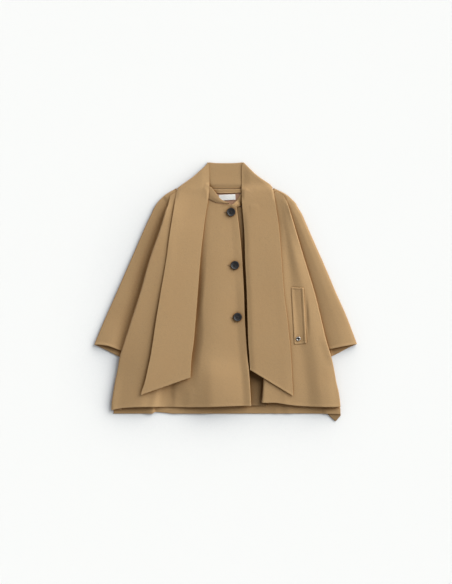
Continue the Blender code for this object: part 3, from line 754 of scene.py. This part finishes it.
def make_neckband(pile, name, curves, rise, look, size, under, hidden=0.0, tilt=0.0):
    """A narrow band between its seam and its free edge, which stands up a little.

    hidden is the share of its length that lies flat under a tie.
    """
    seam_length = np.hypot(*np.diff(np.array(curves["seam"]), axis=0).T).sum()
    rows, columns = 9, spans(seam_length * 1.4)
    seam, free = through(curves["seam"], columns), through(curves["free"], columns)
    flat = strip(free, seam, rows)
    over = np.linspace(0, 1, rows)[:, None]
    shown = ease((np.linspace(0, 1, columns)[None, :] - hidden) / 0.3)
    want = pile.height(seam[:, 0], seam[:, 1], NARROW)[None] + CLOTH / 2 + GAP
    want = want + (rise * (1 - over) ** 0.7 + 0.4 * np.sin(math.pi * over)) * shown + tilt * over
    grid = rest(pile, flat, want, CLOTH, reach=2.0, soft=0.3)
    thin = (0.3 + 0.7 * shown) * (1 - 0.7 * ease(over * 2 - 1) * (tilt == 0))
    grid[..., 2] -= (1 - thin) * CLOTH / 2
    lay(pile, name, grid, CLOTH, look, size, taken=CLOTH * 0.6, thin=thin, rests_on=[under])


# ---------------------------------------------------------------- the sleeves
SLEEVE_TOP = {
    # across from the outer edge (0) to the inner (1): height of the upper wall's middle
    "right": ([0.0, 0.12, 0.35, 0.55, 0.75, 1.0], [6.0, 7.2, 8.8, 8.0, 5.0, 3.6]),
    "left": ([0.0, 0.12, 0.3, 0.5, 0.7, 1.0], [7.0, 9.0, 10.0, 8.5, 6.0, 5.0]),
}


def make_sleeve(pile, hand, look):
    """A sleeve is one sheet folded along its outer edge: lower wall, fold, upper wall."""
    cut = SLEEVES[hand]
    rows, columns, steps = spans(560), spans(130), 6
    outer, inner = through(cut["outer"], rows), through(cut["inner"], rows)
    inward = inward_of(outer, (0, -40))
    walls = []
    for hem in ("lower_hem", "upper_hem"):
        low = through(cut[hem], columns)
        top = through([outer[0], inner[0]], columns)
        ends = outer.copy(), inner.copy()
        for curve, start, end in ((ends[0], outer, low[0]), (ends[1], inner, low[-1])):
            curve += np.linspace(0, 1, rows)[:, None] ** 6 * (end - start[-1])
        walls.append(patch(top, low, *ends))
    lower_flat, upper_flat = walls
    down = np.linspace(0, 1, rows)[:, None]
    over = np.linspace(0, 1, columns)[None, :]
    lower = rest(pile, lower_flat, 0 * over * down, CLOTH, reach=NARROW, soft=0.1)
    lower[..., 2] = np.maximum(lower[..., 2], CLOTH / 2 + 0.3)
    places, heights = SLEEVE_TOP[hand]
    want = np.interp(over[0], places, heights)[None, :] + 0 * down
    kernel = np.ones(5) / 5
    want = np.apply_along_axis(lambda row: np.convolve(np.pad(row, 2, "edge"), kernel, "valid"), 1, want)
    want *= 0.25 + 0.75 * ease(down * 4.5)
    x, y = upper_flat[..., 0], upper_flat[..., 1]
    want += 0.5 * waver(x, y, 150, 5 if hand == "left" else 8) * ease(down * 4)
    mouth = 2.2 * ease((down - 0.82) * 6) * np.sin(math.pi * np.clip(over * 1.15, 0, 1))
    want = want + hem_lip(upper_flat, 1.5) + mouth
    if hand == "right":
        want -= 4.5 * bell(edge("side_right", y) - x - 4, 27) * ease((282 - y) / 40)
    apart = CLOTH + 0.1 + (0.3 + 1.2 * (1 - over)) * ease(down * 6)
    want = np.maximum(want, lower[..., 2] + apart)
    upper = np.dstack([upper_flat, want])
    fold_low, fold_top = lower[:, 0, 2], upper[:, 0, 2]
    radius = (fold_top - fold_low) / 2
    arc = []
    for k in range(steps + 1):
        turn = math.pi * k / steps
        at = outer + inward * (CLOTH / 2 + radius * (1 - math.sin(turn)))[:, None]
        at += (upper_flat[:, 0] - outer) * k / steps + (lower_flat[:, 0] - outer) * (1 - k / steps)
        arc.append(np.column_stack([at, fold_low + radius * (1 - math.cos(turn))]))
    grid = np.concatenate([lower[:, :FOLD_ROWS:-1], np.stack(arc, axis=1), upper[:, FOLD_ROWS:]], axis=1)
    lay(
        pile, f"sleeve_{hand}", grid, CLOTH, look, (300, 560), area=104000, held="folded",
        rests_on=["floor", "back_cloth"],
    )


# ---------------------------------------------------------------- the fronts
def make_underlap(pile, look):
    """The strip of the left front that runs on under the right front's button edge."""
    rows, columns = spans(586), spans(100)
    first = side("button_edge", 250, -336, rows, shift=-34)
    last = side("pleat", 250, -336, rows, shift=16)
    top, low = (through([first[end], last[end]], columns) for end in (0, -1))
    flat = patch(top, low, first, last)
    y = flat[..., 1]
    want = 9.5 - 6.0 * ease((-120 - y) / 120) + 1.0 * ease((-285 - y) / 50) - 1.3 * ease((y - 100) / 150)
    grid = rest(pile, flat, want + hem_lip(flat, 1.2, 8), CLOTH, reach=NARROW)
    # the underlap is drawn in the darker camel, as painted shade in its recess under the placket
    lay(pile, "underlap", grid, CLOTH, look, (105, 590), rests_on=["back_cloth"])


def hem_lip(flat, height=0.7, width=9.0):
    """The doubled hem stands a little proud along its edge."""
    return height * (1 - ease(from_edge(flat, "low") / width))


def right_front_height(flat):
    """Middle of the right front, from its raised side over the tie's bed to the chest's swell."""
    x, y = flat[..., 0], flat[..., 1]
    tie_out, tie_in, side_x, button = (
        edge(name, y) for name in ("tie_right_out", "tie_right_in", "side_right", "button_edge")
    )
    tie_out = np.maximum(tie_out, side_x + 14)
    crest = tie_in + (button - tie_in) * 0.38
    flank = tie_in + 20 + 10 * ease((-40 - y) / 90)
    places = [side_x, tie_out, (tie_out + tie_in) / 2, tie_in - 3, flank, crest, button]
    heights = [curve_at(RIGHT_HEIGHTS, name, y) for name in RIGHT_HEIGHTS.dtype.names[1:]]
    return across(x, places, heights) + folds(x, y, RIGHT_FOLDS) + 0.3 * waver(x, y, 170, 2)


def left_front_height(flat):
    """Middle of the left front, from its pleat under the tie to the round roll along its side."""
    x, y = flat[..., 0], flat[..., 1]
    pleat, tie_out, side_x = (edge(name, y) for name in ("pleat", "tie_left_out", "side_left"))
    room = np.clip(side_x - tie_out, 30, None)
    places = [
        pleat, (pleat + tie_out) / 2, tie_out - 10, tie_out + 0.05 * room, tie_out + 0.3 * room,
        tie_out + 0.62 * room, side_x,
    ]
    heights = [curve_at(LEFT_HEIGHTS, name, y) for name in LEFT_HEIGHTS.dtype.names[1:]]
    inset = inside_of(x, y, WELT)
    opening = bell(inside_of(x, y, WELT, (1,)) + 5, 4.5) * bell(y + 72, 48)
    sunk = 0.8 * ease(inset / 3 + 0.5) + 2.6 * opening
    return across(x, places, heights) - sunk + folds(x, y, LEFT_FOLDS) + 0.3 * waver(x, y, 170, 6)


def lift_edge(pile, grid, which, radius, smooth):
    """Raises the cloth beside an edge where the fold round it needs more room over the pile."""
    beside = grid[:, 0 if which == "first" else -1]
    floor = pile.height(beside[:, 0], beside[:, 1], NARROW) + GAP + CLOTH / 2
    short = np.clip(floor + 2 * radius - beside[:, 2], 0, None)
    if smooth:
        short = eased_along(short)
    grid[..., 2] += short[:, None] * bell(from_edge(grid[..., :2], which), FOLD_REACH)


def fading(grid, outline):
    """Walls of a front: they fade out at the shoulder, where the front and the sleeve are one cloth."""
    from_side = np.hypot(*np.moveaxis(grid[..., :2] - outline[:, None], 2, 0))
    down = (SHOULDER - outline[:, 1])[:, None]
    return 0.12 + 0.88 * ease(down / 40 + from_side / 45 - 0.1)


def lay_front(pile, hand, grid, outline, inward, radius, under, look, cut, area):
    """Folds a front under along its side, by so much, and lays it."""
    grid = nose(pile, grid, outline, inward, radius, under, CLOTH)
    lay(
        pile, f"front_{hand}", grid, CLOTH, look, cut, area=area, held="folded",
        thin=fading(grid, outline), rests_on=["back_cloth", f"sleeve_{hand}_cloth", "underlap_cloth"],
    )


def make_front_left(pile, look):
    """The left front folds under along its side, and at the pleat beside the underlap."""
    rows, columns = spans(640), spans(250)
    top, low = through(LEFT_FRONT_TOP[::-1], columns), through(LEFT_FRONT_HEM[::-1], columns)
    outline = side("side_left", top[0, 1], low[0, 1], rows)
    outline[:, 0] -= 8 * ease((outline[:, 1] - 262) / 24)
    pleat = side("pleat", top[-1, 1], low[-1, 1], rows)
    inward, pleat_inward = inward_of(outline, (150, 0)), inward_of(pleat, (170, 0))
    down = (SHOULDER - outline[:, 1]) / 90
    radius = 0.1 + 1.7 * ease(down)
    pleat_radius = 0.2 + 3.4 * ease((-120 - pleat[:, 1]) / 100)
    first = outline + inward * (radius + CLOTH / 2)[:, None]
    last = pleat + pleat_inward * (pleat_radius + CLOTH / 2)[:, None]
    flat = patch(met(top, first[0], last[0]), met(low, first[-1], last[-1]), first, last)
    grid = rest(pile, flat, left_front_height(flat) + hem_lip(flat), CLOTH)
    lift_edge(pile, grid, "first", radius, smooth=True)
    lift_edge(pile, grid, "last", pleat_radius, smooth=False)
    grid = nose(pile, grid[:, ::-1], pleat, pleat_inward, pleat_radius, 16, CLOTH)[:, ::-1]
    lay_front(pile, "left", grid, outline, inward, radius, 24, look, (320, 640), 150000)


def make_front_right(pile, look):
    """The right front folds under along its side. It lies on the left one and ends in the placket."""
    rows, columns = spans(640), spans(330)
    top, low = through(RIGHT_FRONT_TOP, columns), through(RIGHT_FRONT_HEM, columns)
    outline = side("side_right", top[0, 1], low[0, 1], rows)
    outline[:, 0] += 16 * ease((outline[:, 1] - 262) / 24)
    last = side("button_edge", top[-1, 1], low[-1, 1], rows)
    inward = inward_of(outline, (-100, 0))
    radius = 0.1 + 2.9 * ease((SHOULDER - outline[:, 1]) / 90)
    first = outline + inward * (radius + CLOTH / 2)[:, None]
    flat = patch(met(top, first[0], top[-1]), met(low, first[-1], low[-1]), first, last)
    below, swell = ease((60 - flat[..., 1]) / 80), bell(flat[..., 1] + 235, 60)
    button_lip = (1 - ease(from_edge(flat, "last") / 27)) * (1.9 + 1.9 * below + 1.7 * swell)
    want = right_front_height(flat) + hem_lip(flat) + button_lip
    for x, y in BUTTONS.values():
        away = np.hypot(flat[..., 0] - x, flat[..., 1] - y)
        want = want - 0.7 * bell(away, 15)
    grid = rest(pile, flat, want, CLOTH)
    lift_edge(pile, grid, "first", radius, smooth=True)
    lay_front(pile, "right", grid, outline, inward, radius, 26, look, (440, 650), 225000)


# ---------------------------------------------------------------- the scarf collar
ROLL_RADIUS = 3.6
PRESSED = 0.6  # share of the collar's thickness that is pressed out of its edges


def lay_stand(pile):
    """The collar's stand lies on the floor behind the neck. Its grid waits for the ties."""
    rows, columns = spans(130), spans(150)
    top, foot = through(STAND_TOP, columns), through(STAND_FOOT, columns)
    flat = patch(top, foot, through(ROLL_RIGHT, rows), through(ROLL_LEFT, rows))
    x, y = flat[..., 0], flat[..., 1]
    dip = 0.6 * np.sin(math.pi * np.clip((y - 305) / 76, 0, 1))
    dip += 1.8 * ease((345 - y) / 40) * ease((54 - np.abs(x)) / 14)
    stand = np.dstack([flat, DOUBLE_CLOTH / 2 + dip])
    pile.add(stand, DOUBLE_CLOTH)
    return stand


def tie_grid(pile, hand, roll, end, wide):
    """Middle points of a hanging tie, from its roll down to its end, and the share of its wall."""
    down = spans(600)
    top, low = through(roll, wide), through(end, wide)
    near, far = edge(f"tie_{hand}_in", NECK_LINE), top[0, 0]
    turned = [
        (0.25 * near + 0.75 * far, 380.5), (0.9 * near + 0.1 * far, 372),
        (near, 345), (near, NECK_LINE),
    ]
    beside_neck = through([top[0], *turned], spans(78))
    hanging = side(f"tie_{hand}_in", NECK_LINE, low[0, 1], down - len(beside_neck) + 1)
    inner = np.vstack([beside_neck, hanging[1:]])
    outer = side(f"tie_{hand}_out", top[-1, 1], low[-1, 1], down)
    flat = patch(top, low, inner, outer)
    x, y = flat[..., 0], flat[..., 1]
    edges = np.minimum(from_edge(flat, "first"), from_edge(flat, "last"))
    inner_edge = from_edge(flat, "first") == edges
    pressed = 1 - ease(edges / (12 + 26 * ease((y - 296) / 20)))
    share = 1 - pressed * (PRESSED + 0.28 * ease((y - 262) / 14) * inner_edge)
    outward = np.linspace(0, 1, wide)[None, :]
    outer_z, inner_z = (curve_at(TIE_HEIGHTS, f"{hand}_{place}", y) for place in ("out", "in"))
    want = inner_z + (outer_z - inner_z) * outward
    want = want + 0.25 * waver(x, y, 190, 4 if hand == "left" else 9)
    soft = 0.25 + 0.35 * ease((310 - y) / 40)
    grid = rest(pile, flat, want, DOUBLE_CLOTH, reach=NARROW, soft=soft)
    upper_side = 1 - 2 * ease((y - 262) / 20)
    grid[..., 2] += hem_lip(flat, 0.6) + upper_side * (1 - share) * DOUBLE_CLOTH / 2
    if hand == "left":
        grid[..., 2] -= 2.6 * bell(from_edge(flat, "first"), 11) * ease((260 - y) / 60)
    return grid, share


def roll_over(tie, flank, beside, steps):
    """The rows of a roll that joins the stand's flank to the tie's top, which is lowered to meet it."""
    inward = beside[:, :2] - flank[:, :2]
    down_tie = tie[1, :, :2] - tie[0, :, :2]
    inward = inward / np.hypot(*inward.T)[:, None] + down_tie / np.hypot(*down_tie.T)[:, None]
    inward /= np.hypot(*inward.T)[:, None]
    widest_roll = DOUBLE_CLOTH / 2 + 0.2 + (ROLL_RADIUS - 2.2) * ease(np.linspace(0, 2, len(flank)))
    radius = np.minimum((tie[0, :, 2] - flank[:, 2]) / 2, widest_roll)
    top_z = flank[:, 2] + 2 * radius
    tie[..., 2] -= (tie[0, :, 2] - top_z)[None] * bell(from_edge(tie[..., :2], "top"), 20)
    edge_at = tie[0, :, :2] + inward * DOUBLE_CLOTH / 2
    arc = []
    for k in range(steps + 1):
        turn = math.pi * k / steps
        at = edge_at + inward * (radius * (1 - math.sin(turn)))[:, None]
        arc.append(np.column_stack([at, flank[:, 2] + radius * (1 - math.cos(turn))]))
    return np.stack(arc)


def make_collar(pile, stand, look):
    """One long scarf: the stand behind the neck folds over at each side into a hanging tie."""
    steps = 8
    foot = 1 - PRESSED * (1 - ease(from_edge(stand[..., :2], "low") / 16))
    stand[..., 2] -= (1 - foot) * DOUBLE_CLOTH / 2
    ties, shares = {}, {}
    for hand, roll, end in (("right", ROLL_RIGHT, TIE_RIGHT_END), ("left", ROLL_LEFT, TIE_LEFT_END)):
        ties[hand], shares[hand] = tie_grid(pile, hand, roll, end, len(stand))
    for hand, column, beside in (("right", 0, 1), ("left", -1, -2)):
        tie, share = ties[hand], shares[hand]
        arc = roll_over(tie, stand[:, column], stand[:, beside], steps)
        ties[hand] = np.concatenate([arc, tie[FOLD_ROWS:]])
        shares[hand] = np.concatenate([np.repeat(share[:1], steps + 1, axis=0), share[FOLD_ROWS:]])
    middle = stand.transpose(1, 0, 2)[FOLD_ROWS:-FOLD_ROWS]
    grid = np.concatenate([ties["right"][::-1], middle, ties["left"]])
    thin = np.concatenate([shares["right"][::-1], foot.T[FOLD_ROWS:-FOLD_ROWS], shares["left"]])
    lay(
        pile, "scarf_collar", grid, DOUBLE_CLOTH, look, (150, 1450), area=190000, held="folded",
        rim=6, thin=thin, rests_on=["front_right_cloth", "front_left_cloth", "floor"],
    )


# ---------------------------------------------------------------- trimmings
def lathe(profile, segments, centre, z):
    """Points and faces of a round shape; profile is (radius, height) with both ends on the axis."""
    x, y = centre
    points = [(x, y, z + profile[0][1]), (x, y, z + profile[-1][1])]
    rings = profile[1:-1]
    turns = math.tau * np.arange(segments) / segments
    for radius, height in rings:
        points += [(x + radius * math.cos(a), y + radius * math.sin(a), z + height) for a in turns]
    faces = []
    for k in range(segments):
        n = (k + 1) % segments
        last = 2 + segments * (len(rings) - 1)
        faces += [(0, 2 + n, 2 + k, 2 + k), (1, last + k, last + n, last + n)]
        for r in range(len(rings) - 1):
            low, high = 2 + segments * r, 2 + segments * (r + 1)
            faces.append((low + k, low + n, high + n, high + k))
    return points, faces


def solid(name, points, faces, look):
    """An object from loose faces of three or four corners."""
    return add_object(name, points, [tuple(dict.fromkeys(face)) for face in faces], look)


def tube(path, radius, sides=8):
    """Points and faces of a round rod along a path of 3-D points, with pointed ends."""
    path = np.array(path, float)
    along = np.gradient(path, axis=0)
    along /= np.linalg.norm(along, axis=1, keepdims=True)
    up = np.array([0.0, 0.0, 1.0])
    across = np.cross(along, up)
    across /= np.maximum(np.linalg.norm(across, axis=1, keepdims=True), 1e-9)
    above = np.cross(across, along)
    turns = math.tau * np.arange(sides) / sides
    points = [tuple(path[0]), tuple(path[-1])]
    for at, a, b in zip(path, across, above):
        points += [tuple(at + radius * (math.cos(t) * a + math.sin(t) * b)) for t in turns]
    faces = []
    last = 2 + sides * (len(path) - 1)
    for k in range(sides):
        n = (k + 1) % sides
        faces += [(0, 2 + n, 2 + k), (1, last + k, last + n)]
        for r in range(len(path) - 1):
            low, high = 2 + sides * r, 2 + sides * (r + 1)
            faces.append((low + k, low + n, high + n, high + k))
    return points, faces


def joined(parts):
    """Several (points, faces) as one."""
    points, faces = [], []
    for some_points, some_faces in parts:
        start = len(points)
        points += [tuple(p) for p in some_points]
        faces += [tuple(v + start for v in face) for face in some_faces]
    return points, faces


def drill_button(button, x, y, z, look):
    """Cuts the four holes of a button."""
    tall = BUTTON_THICK + 2
    shaft = [(0, 0), (HOLE_RADIUS, 0), (HOLE_RADIUS, tall), (0, tall)]
    drills = []
    for k in range(4):
        turn = math.pi * (k + 0.5) / 2
        at = (x + HOLE_OFFSET * math.cos(turn), y + HOLE_OFFSET * math.sin(turn))
        drills.append(solid("drill", *lathe(shaft, 20, at, z - 1), look))
    for k, drill in enumerate(drills):
        cut = button.modifiers.new(f"hole_{k}", "BOOLEAN")
        cut.operation = "DIFFERENCE"
        cut.object = drill
    freeze(button, drills)


def sew_button(place, x, y, z, twine):
    """Three strands of thread between the holes of each pair."""
    t = np.linspace(-1, 1, 9)
    strands = []
    for sign in (-1, 1):
        for lane in (-0.45, 0.0, 0.45):
            height = z + BUTTON_THICK * 0.66 + 0.45 * (1 - t**4)
            path = np.column_stack([x + 1.9 * t * sign, y + 1.84 * sign + lane + 0 * t, height])
            path[[0, -1], 2] -= 1.6
            strands.append(tube(path, 0.28, 6))
    declare(solid(f"button_{place}_thread", *joined(strands), twine), None, "button")


def bind_buttonhole(pile, place, x, y, cord):
    """The corded buttonhole that ends under the button."""
    beside = x - BUTTON_RADIUS
    top = pile.height(np.array([beside - 1.5]), np.array([y]), 2.0)[0]
    t = np.linspace(0, math.tau, 41)[:-1]
    ring_x = beside - 1.0 + np.where(np.cos(t) > 0, 1, -1) * 5.2 + 1.1 * np.cos(t)
    ring = np.column_stack([ring_x, y + 1.15 * np.sin(t), top + 0.25 + 0 * t])
    declare(solid(f"buttonhole_{place}", *ring_tube(ring, 0.75), cord), None, "camel_wool")


def make_buttons(pile, look, twine, cord):
    """Four-hole buttons with a raised rim, their thread, and a bound buttonhole beside each."""
    r, h = BUTTON_RADIUS, BUTTON_THICK
    turns = np.linspace(-1.1, 1.9, 9)
    rim = [(r * (0.9 + 0.1 * math.cos(a)), h * (0.62 + 0.38 * math.sin(a))) for a in turns]
    profile = [(0, 0), (0.5 * r, 0.0), (0.72 * r, 0.06 * h), *rim, (0.78 * r, 0.86 * h), (0.7 * r, 0.7 * h)]
    profile += [(0.55 * r, 0.62 * h), (0.3 * r, 0.6 * h), (0, 0.6 * h)]
    under = np.linspace(-0.7, 0.7, 9) * r
    u, v = np.meshgrid(under, under)
    for place, (x, y) in BUTTONS.items():
        z = pile.height(x + u, y + v, 0).max() + 0.2
        button = solid(f"button_{place}_fine", *lathe(profile, 64, (x, y), z), look)
        drill_button(button, x, y, z, look)
        declare(button, f"button_{place}", "button")
        sew_button(place, x, y, z, twine)
        bind_buttonhole(pile, place, x, y, cord)


def ring_tube(ring, radius, sides=8):
    """Points and faces of a rod bent into the closed ring."""
    along = np.roll(ring, -1, axis=0) - np.roll(ring, 1, axis=0)
    along /= np.linalg.norm(along, axis=1, keepdims=True)
    up = np.array([0.0, 0.0, 1.0])
    across = np.cross(along, up)
    turns = math.tau * np.arange(sides) / sides
    points = []
    for at, a in zip(ring, across):
        points += [tuple(at + radius * (math.cos(t) * a + math.sin(t) * up)) for t in turns]
    faces = []
    count = len(ring)
    for r in range(count):
        low, high = sides * r, sides * ((r + 1) % count)
        for k in range(sides):
            n = (k + 1) % sides
            faces.append((low + k, low + n, high + n, high + k))
    return points, faces


def freeze(obj, helpers):
    """Applies an object's modifiers and removes the helpers that they used."""
    graph = bpy.context.evaluated_depsgraph_get()
    graph.update()
    mesh = bpy.data.meshes.new_from_object(obj.evaluated_get(graph))
    obj.modifiers.clear()
    obj.data = mesh
    for helper in helpers:
        bpy.data.objects.remove(helper, do_unlink=True)


def make_welt(pile, look, twine):
    """The stitched pocket welt on the left front."""
    corners = np.array(WELT, float)
    rows, columns = 130, 34
    flat = strip(through(corners[:2], columns), through(corners[[3, 2]], columns), rows)
    from_left, from_right = from_edge(flat, "first"), from_edge(flat, "last")
    from_top, from_low = from_edge(flat, "top"), from_edge(flat, "low")
    band = np.minimum(np.minimum(from_right - 8.5, from_top - 6.5), from_low - 6.5)
    border = ease(0.5 - band / 2.5)
    ridge = bell(from_right - 3.4, 3.6)
    wall = 0.9 + 0.3 * border - 0.3 * bell(band, 1.4) + 1.5 * ridge
    wall *= 0.35 + 0.65 * ease(np.minimum(from_left, np.minimum(from_top, from_low)) / 2.5)
    base = pile.height(flat[..., 0], flat[..., 1], NARROW) + 0.15
    grid = np.dstack([flat, base + wall / 2])
    surface = base + wall
    pile.add(grid, WELT_THICK / 2)
    welt = shell("pocket_welt_cloth", grid, WELT_THICK, look, thin=wall / WELT_THICK)
    stitches = []
    ring = [(i, columns - 8) for i in range(8, rows - 8, 3)]
    ring += [(i, j) for i in (7, rows - 8) for j in range(3, columns - 8, 3)]
    for i, j in ring:
        k, m = (i + 2, j) if j == columns - 8 else (i, j + 2)
        here = np.append(flat[i, j], surface[i, j])
        ahead = np.append(flat[k, m], surface[k, m])
        t = np.linspace(0, 1, 5)[:, None]
        path = here + (ahead - here) * t
        path[:, 2] += 0.15 * np.sin(math.pi * t[:, 0]) - 0.16
        stitches.append(tube(path, 0.2, 6))
    sewn = solid("pocket_stitches", *joined(stitches), twine)
    declare(welt, "pocket_welt", "camel_wool", (38, 168), rests_on=["front_left_cloth"], with_pieces=[sewn])


def make_rivet(pile, steel, dark):
    """The small round rivet at the lower end of the welt."""
    x, y = RIVET
    z = pile.height(np.array([x]), np.array([y]), NARROW)[0] + 0.05
    r = RIVET_RADIUS
    turns = np.linspace(0.1, math.pi - 0.1, 10)
    profile = [(0, 0), (r, 0), (r, 0.5)]
    profile += [(r * (0.78 + 0.22 * math.cos(a)), 0.7 + 1.5 * math.sin(a)) for a in turns]
    profile += [(0.55 * r, 0.35), (0.3 * r, 0.3), (0, 0.3)]
    rivet = solid("pocket_rivet_fine", *lathe(profile, 48, (x, y), z), steel)
    declare(rivet, "pocket_rivet", "steel")
    core = [(0, 0.3), (0.5 * r, 0.3), (0.5 * r, 0.42), (0.42 * r, 0.6), (0.2 * r, 0.75), (0, 0.78)]
    declare(solid("pocket_rivet_core", *lathe(core, 32, (x, y), z), dark), None, "steel")


def make_label(pile, look):
    """A bare woven label on the lining, with its ends folded under."""
    (x, y), (length, width, thick) = LABEL["centre"], LABEL["size"]
    c, s = (part(math.radians(LABEL["turn_deg"])) for part in (math.cos, math.sin))
    rows, columns = 13, 40
    u, v = np.meshgrid(np.linspace(-0.5, 0.5, columns), np.linspace(0.5, -0.5, rows))
    pinch = 1 - 0.04 * (np.abs(u) * 2) ** 6
    u, v = u * length, v * width * pinch
    flat = np.dstack([x + u * c - v * s, y + u * s + v * c])
    want = pile.height(x + 0 * u, y + 0 * u, NARROW) + 1.2 + 0.35 * np.cos(u / 9) + 0.3 * np.sin(v / 6)
    grid = rest(pile, flat, want, thick, reach=2.0, soft=0.2)
    lay(pile, "label", grid, thick, look, (49, 16.5), "label", rests_on=["lining_cloth"])


# ---------------------------------------------------------------- floor, light and camera
def make_stage():
    """A pale paper floor, with painted shadow beside the coat on the side away from the light."""
    made, tree, shader, at = nodes_of("floor_paper")
    paper = mix(tree, noise(tree, at, 3.0), rgba(FLOOR), rgba(FLOOR, 0.997))
    turn = math.radians(KEY["azimuth"])
    sideways, up = SHADE_LEAN
    lean = {"X": sideways * math.cos(turn), "Y": sideways * math.sin(turn), "Z": up}
    towards = add_node(tree, "CombineXYZ", lean).outputs["Vector"]
    inputs = {"Distance": SHADE_REACH, "Normal": towards}
    opened = add_node(tree, "AmbientOcclusion", inputs, samples=12).outputs["AO"]
    # painted shadow: the paper darkens where cloth stands near it on the side towards the light
    tint = mix(tree, ramp(tree, opened, 0.72, 1.0), rgba(SHADE_TINT), rgba((1, 1, 1)))
    shade = mix(tree, 1.0, paper, tint, "MULTIPLY")
    feed(tree, shader, {"Base Color": shade, "Roughness": 1.0, "Specular IOR Level": 0.0})
    half = 6.0
    corners = [(-half, -half, 0), (half, -half, 0), (half, half, 0), (-half, half, 0)]
    mesh = bpy.data.meshes.new("floor")
    mesh.from_pydata(corners, [], [(0, 1, 2, 3)])
    mesh.materials.append(made)
    floor = bpy.data.objects.new("floor", mesh)
    floor.location.z = -FLOOR_DROP
    bpy.context.scene.collection.objects.link(floor)


def sun(name, azimuth, elevation, angle, strength, colour):
    """A soft light from a compass direction: azimuth 0 is +X and 90 is +Y, in degrees."""
    data = bpy.data.lights.new(name, "SUN")
    data.energy = strength
    data.angle = math.radians(angle)
    data.color = colour
    light = bpy.data.objects.new(name, data)
    light.rotation_euler = (0, math.radians(90 - elevation), math.radians(azimuth))
    bpy.context.scene.collection.objects.link(light)


def make_light():
    """One broad key light, and a ring of soft light round the table that is brighter on its side."""
    sun("key", **KEY)
    world = bpy.data.worlds.new("studio")
    world.use_nodes = True
    tree = world.node_tree
    way = add_node(tree, "TexCoord").outputs["Generated"]
    height = add_node(tree, "SeparateXYZ", {"Vector": way}).outputs["Z"]
    turn = math.radians(KEY["azimuth"])
    lean = (SKY_LEAN * math.cos(turn), SKY_LEAN * math.sin(turn), 0.0)
    towards = add_node(tree, "VectorMath", {0: way, 1: lean}, operation="DOT_PRODUCT").outputs["Value"]
    uneven = figured(tree, "ADD", towards, 1.0)
    low, high = SKY_BAND
    glow = figured(tree, "MULTIPLY", ramp(tree, height, high, low), uneven)
    bright = figured(tree, "MULTIPLY_ADD", glow, SKY_GLOW, AMBIENT)
    feed(tree, tree.nodes["Background"], {"Color": (*AMBIENT_COLOUR, 1.0), "Strength": bright})
    bpy.context.scene.world = world
    grade = bpy.context.scene.view_settings
    grade.view_transform = "Standard"
    grade.use_curve_mapping = True
    grade.curve_mapping.black_level = (FILM_TOE, FILM_TOE, FILM_TOE)
    grade.curve_mapping.update()


def make_camera():
    """Straight above the coat, as high as the framing needs."""
    data = bpy.data.cameras.new("camera")
    data.lens, data.sensor_width = 85.0, 36.0
    data.clip_end = 50.0
    camera = bpy.data.objects.new("camera", data)
    away = VIEW_LENGTH * data.lens / data.sensor_width
    camera.location = (*VIEW_MIDDLE, away + OUTLINE_HEIGHT)
    bpy.context.scene.collection.objects.link(camera)
    bpy.context.scene.camera = camera


CAMEL = (0.350, 0.227, 0.1145)
# darker camel: painted shade for the underlap in its recess, and for the turned back corner, which also
# shows the cloth's inner face
CAMEL_SHADE_AND_INNER = (0.235, 0.152, 0.076)
FILM_TOE = 0.001  # light under which the picture goes black
# painted shade: the wool's colour is multiplied by this tint in hollows, looked for within this reach in
# metres
PAINTED_HOLLOW_TINT = (0.67, 0.49, 0.31)
PAINTED_HOLLOW_REACH = 0.05
LINING_BROWN = (0.38, 0.21, 0.13)
LABEL_WHITE = (0.78, 0.78, 0.75)
BUTTON_BLACK = (0.017, 0.016, 0.0165)
STEEL = (0.46, 0.45, 0.43)
DARK_STEEL = (0.09, 0.085, 0.08)
FLOOR = (0.853, 0.857, 0.849)
FLOOR_DROP = 0.0005  # of the paper under the coat, so that the two never share a plane
SHADE_REACH = 0.18
SHADE_LEAN = (0.8, 0.6)  # towards the light and up: where the floor looks for cloth
SHADE_TINT = (0.80, 0.82, 0.855)  # painted shadow on the floor close to the coat, on the side away from the light
KEY = {"azimuth": 40, "elevation": 28, "angle": 48, "strength": 4.06, "colour": (1.0, 1.0, 0.985)}
AMBIENT = 0.175
SKY_GLOW = 2.37  # of the ring of soft boxes round the table
SKY_BAND = (0.15, 0.6)  # sine of the elevation where the ring starts to fade, and where it ends
SKY_LEAN = 0.6
AMBIENT_COLOUR = (0.985, 0.995, 1.0)
VIEW_LENGTH = 584 * 0.00295  # height of what the camera sees of the coat, in metres
VIEW_MIDDLE = (0.0012, -0.0004)
OUTLINE_HEIGHT = 0.008  # of the coat's outline over the floor, where the picture is to scale


def build():
    camel = wool("camel_wool_fine", CAMEL)
    # inside: darker camel that paints shade on the underlap and the turned back corner, where the inner
    # face also shows
    inside = wool("camel_wool_shade_and_inner", CAMEL_SHADE_AND_INNER)
    twine = thread("camel_thread", (0.33, 0.21, 0.1))
    dark_twine = thread("button_thread", (0.03, 0.026, 0.024))
    pile = Pile()
    make_back(pile, camel, inside)
    make_lining(pile, satin("lining_satin", LINING_BROWN))
    make_label(pile, woven("label_tape", LABEL_WHITE))
    make_neckband(pile, "neckband_back", NECKBAND_BACK, 0.0, camel, (112, 13), "back_cloth", tilt=0.8)
    stand = lay_stand(pile)
    for hand in ("right", "left"):
        make_sleeve(pile, hand, camel)
    make_underlap(pile, inside)
    make_front_left(pile, camel)
    make_neckband(pile, "neckband_left", NECKBAND_LEFT, 0.8, camel, (80, 22), "front_left_cloth", 0.2)
    make_front_right(pile, camel)
    make_neckband(pile, "neckband_right", NECKBAND_RIGHT, 0.4, camel, (110, 22), "front_right_cloth", 0.15)
    make_collar(pile, stand, camel)
    make_buttons(pile, horn("button_horn", BUTTON_BLACK), dark_twine, twine)
    steel, dark_steel = metal("rivet_satin", STEEL), metal("rivet_core_dark", DARK_STEEL)
    make_welt(pile, camel, twine)
    make_rivet(pile, steel, dark_steel)
    make_stage()
    make_light()
    make_camera()


build()
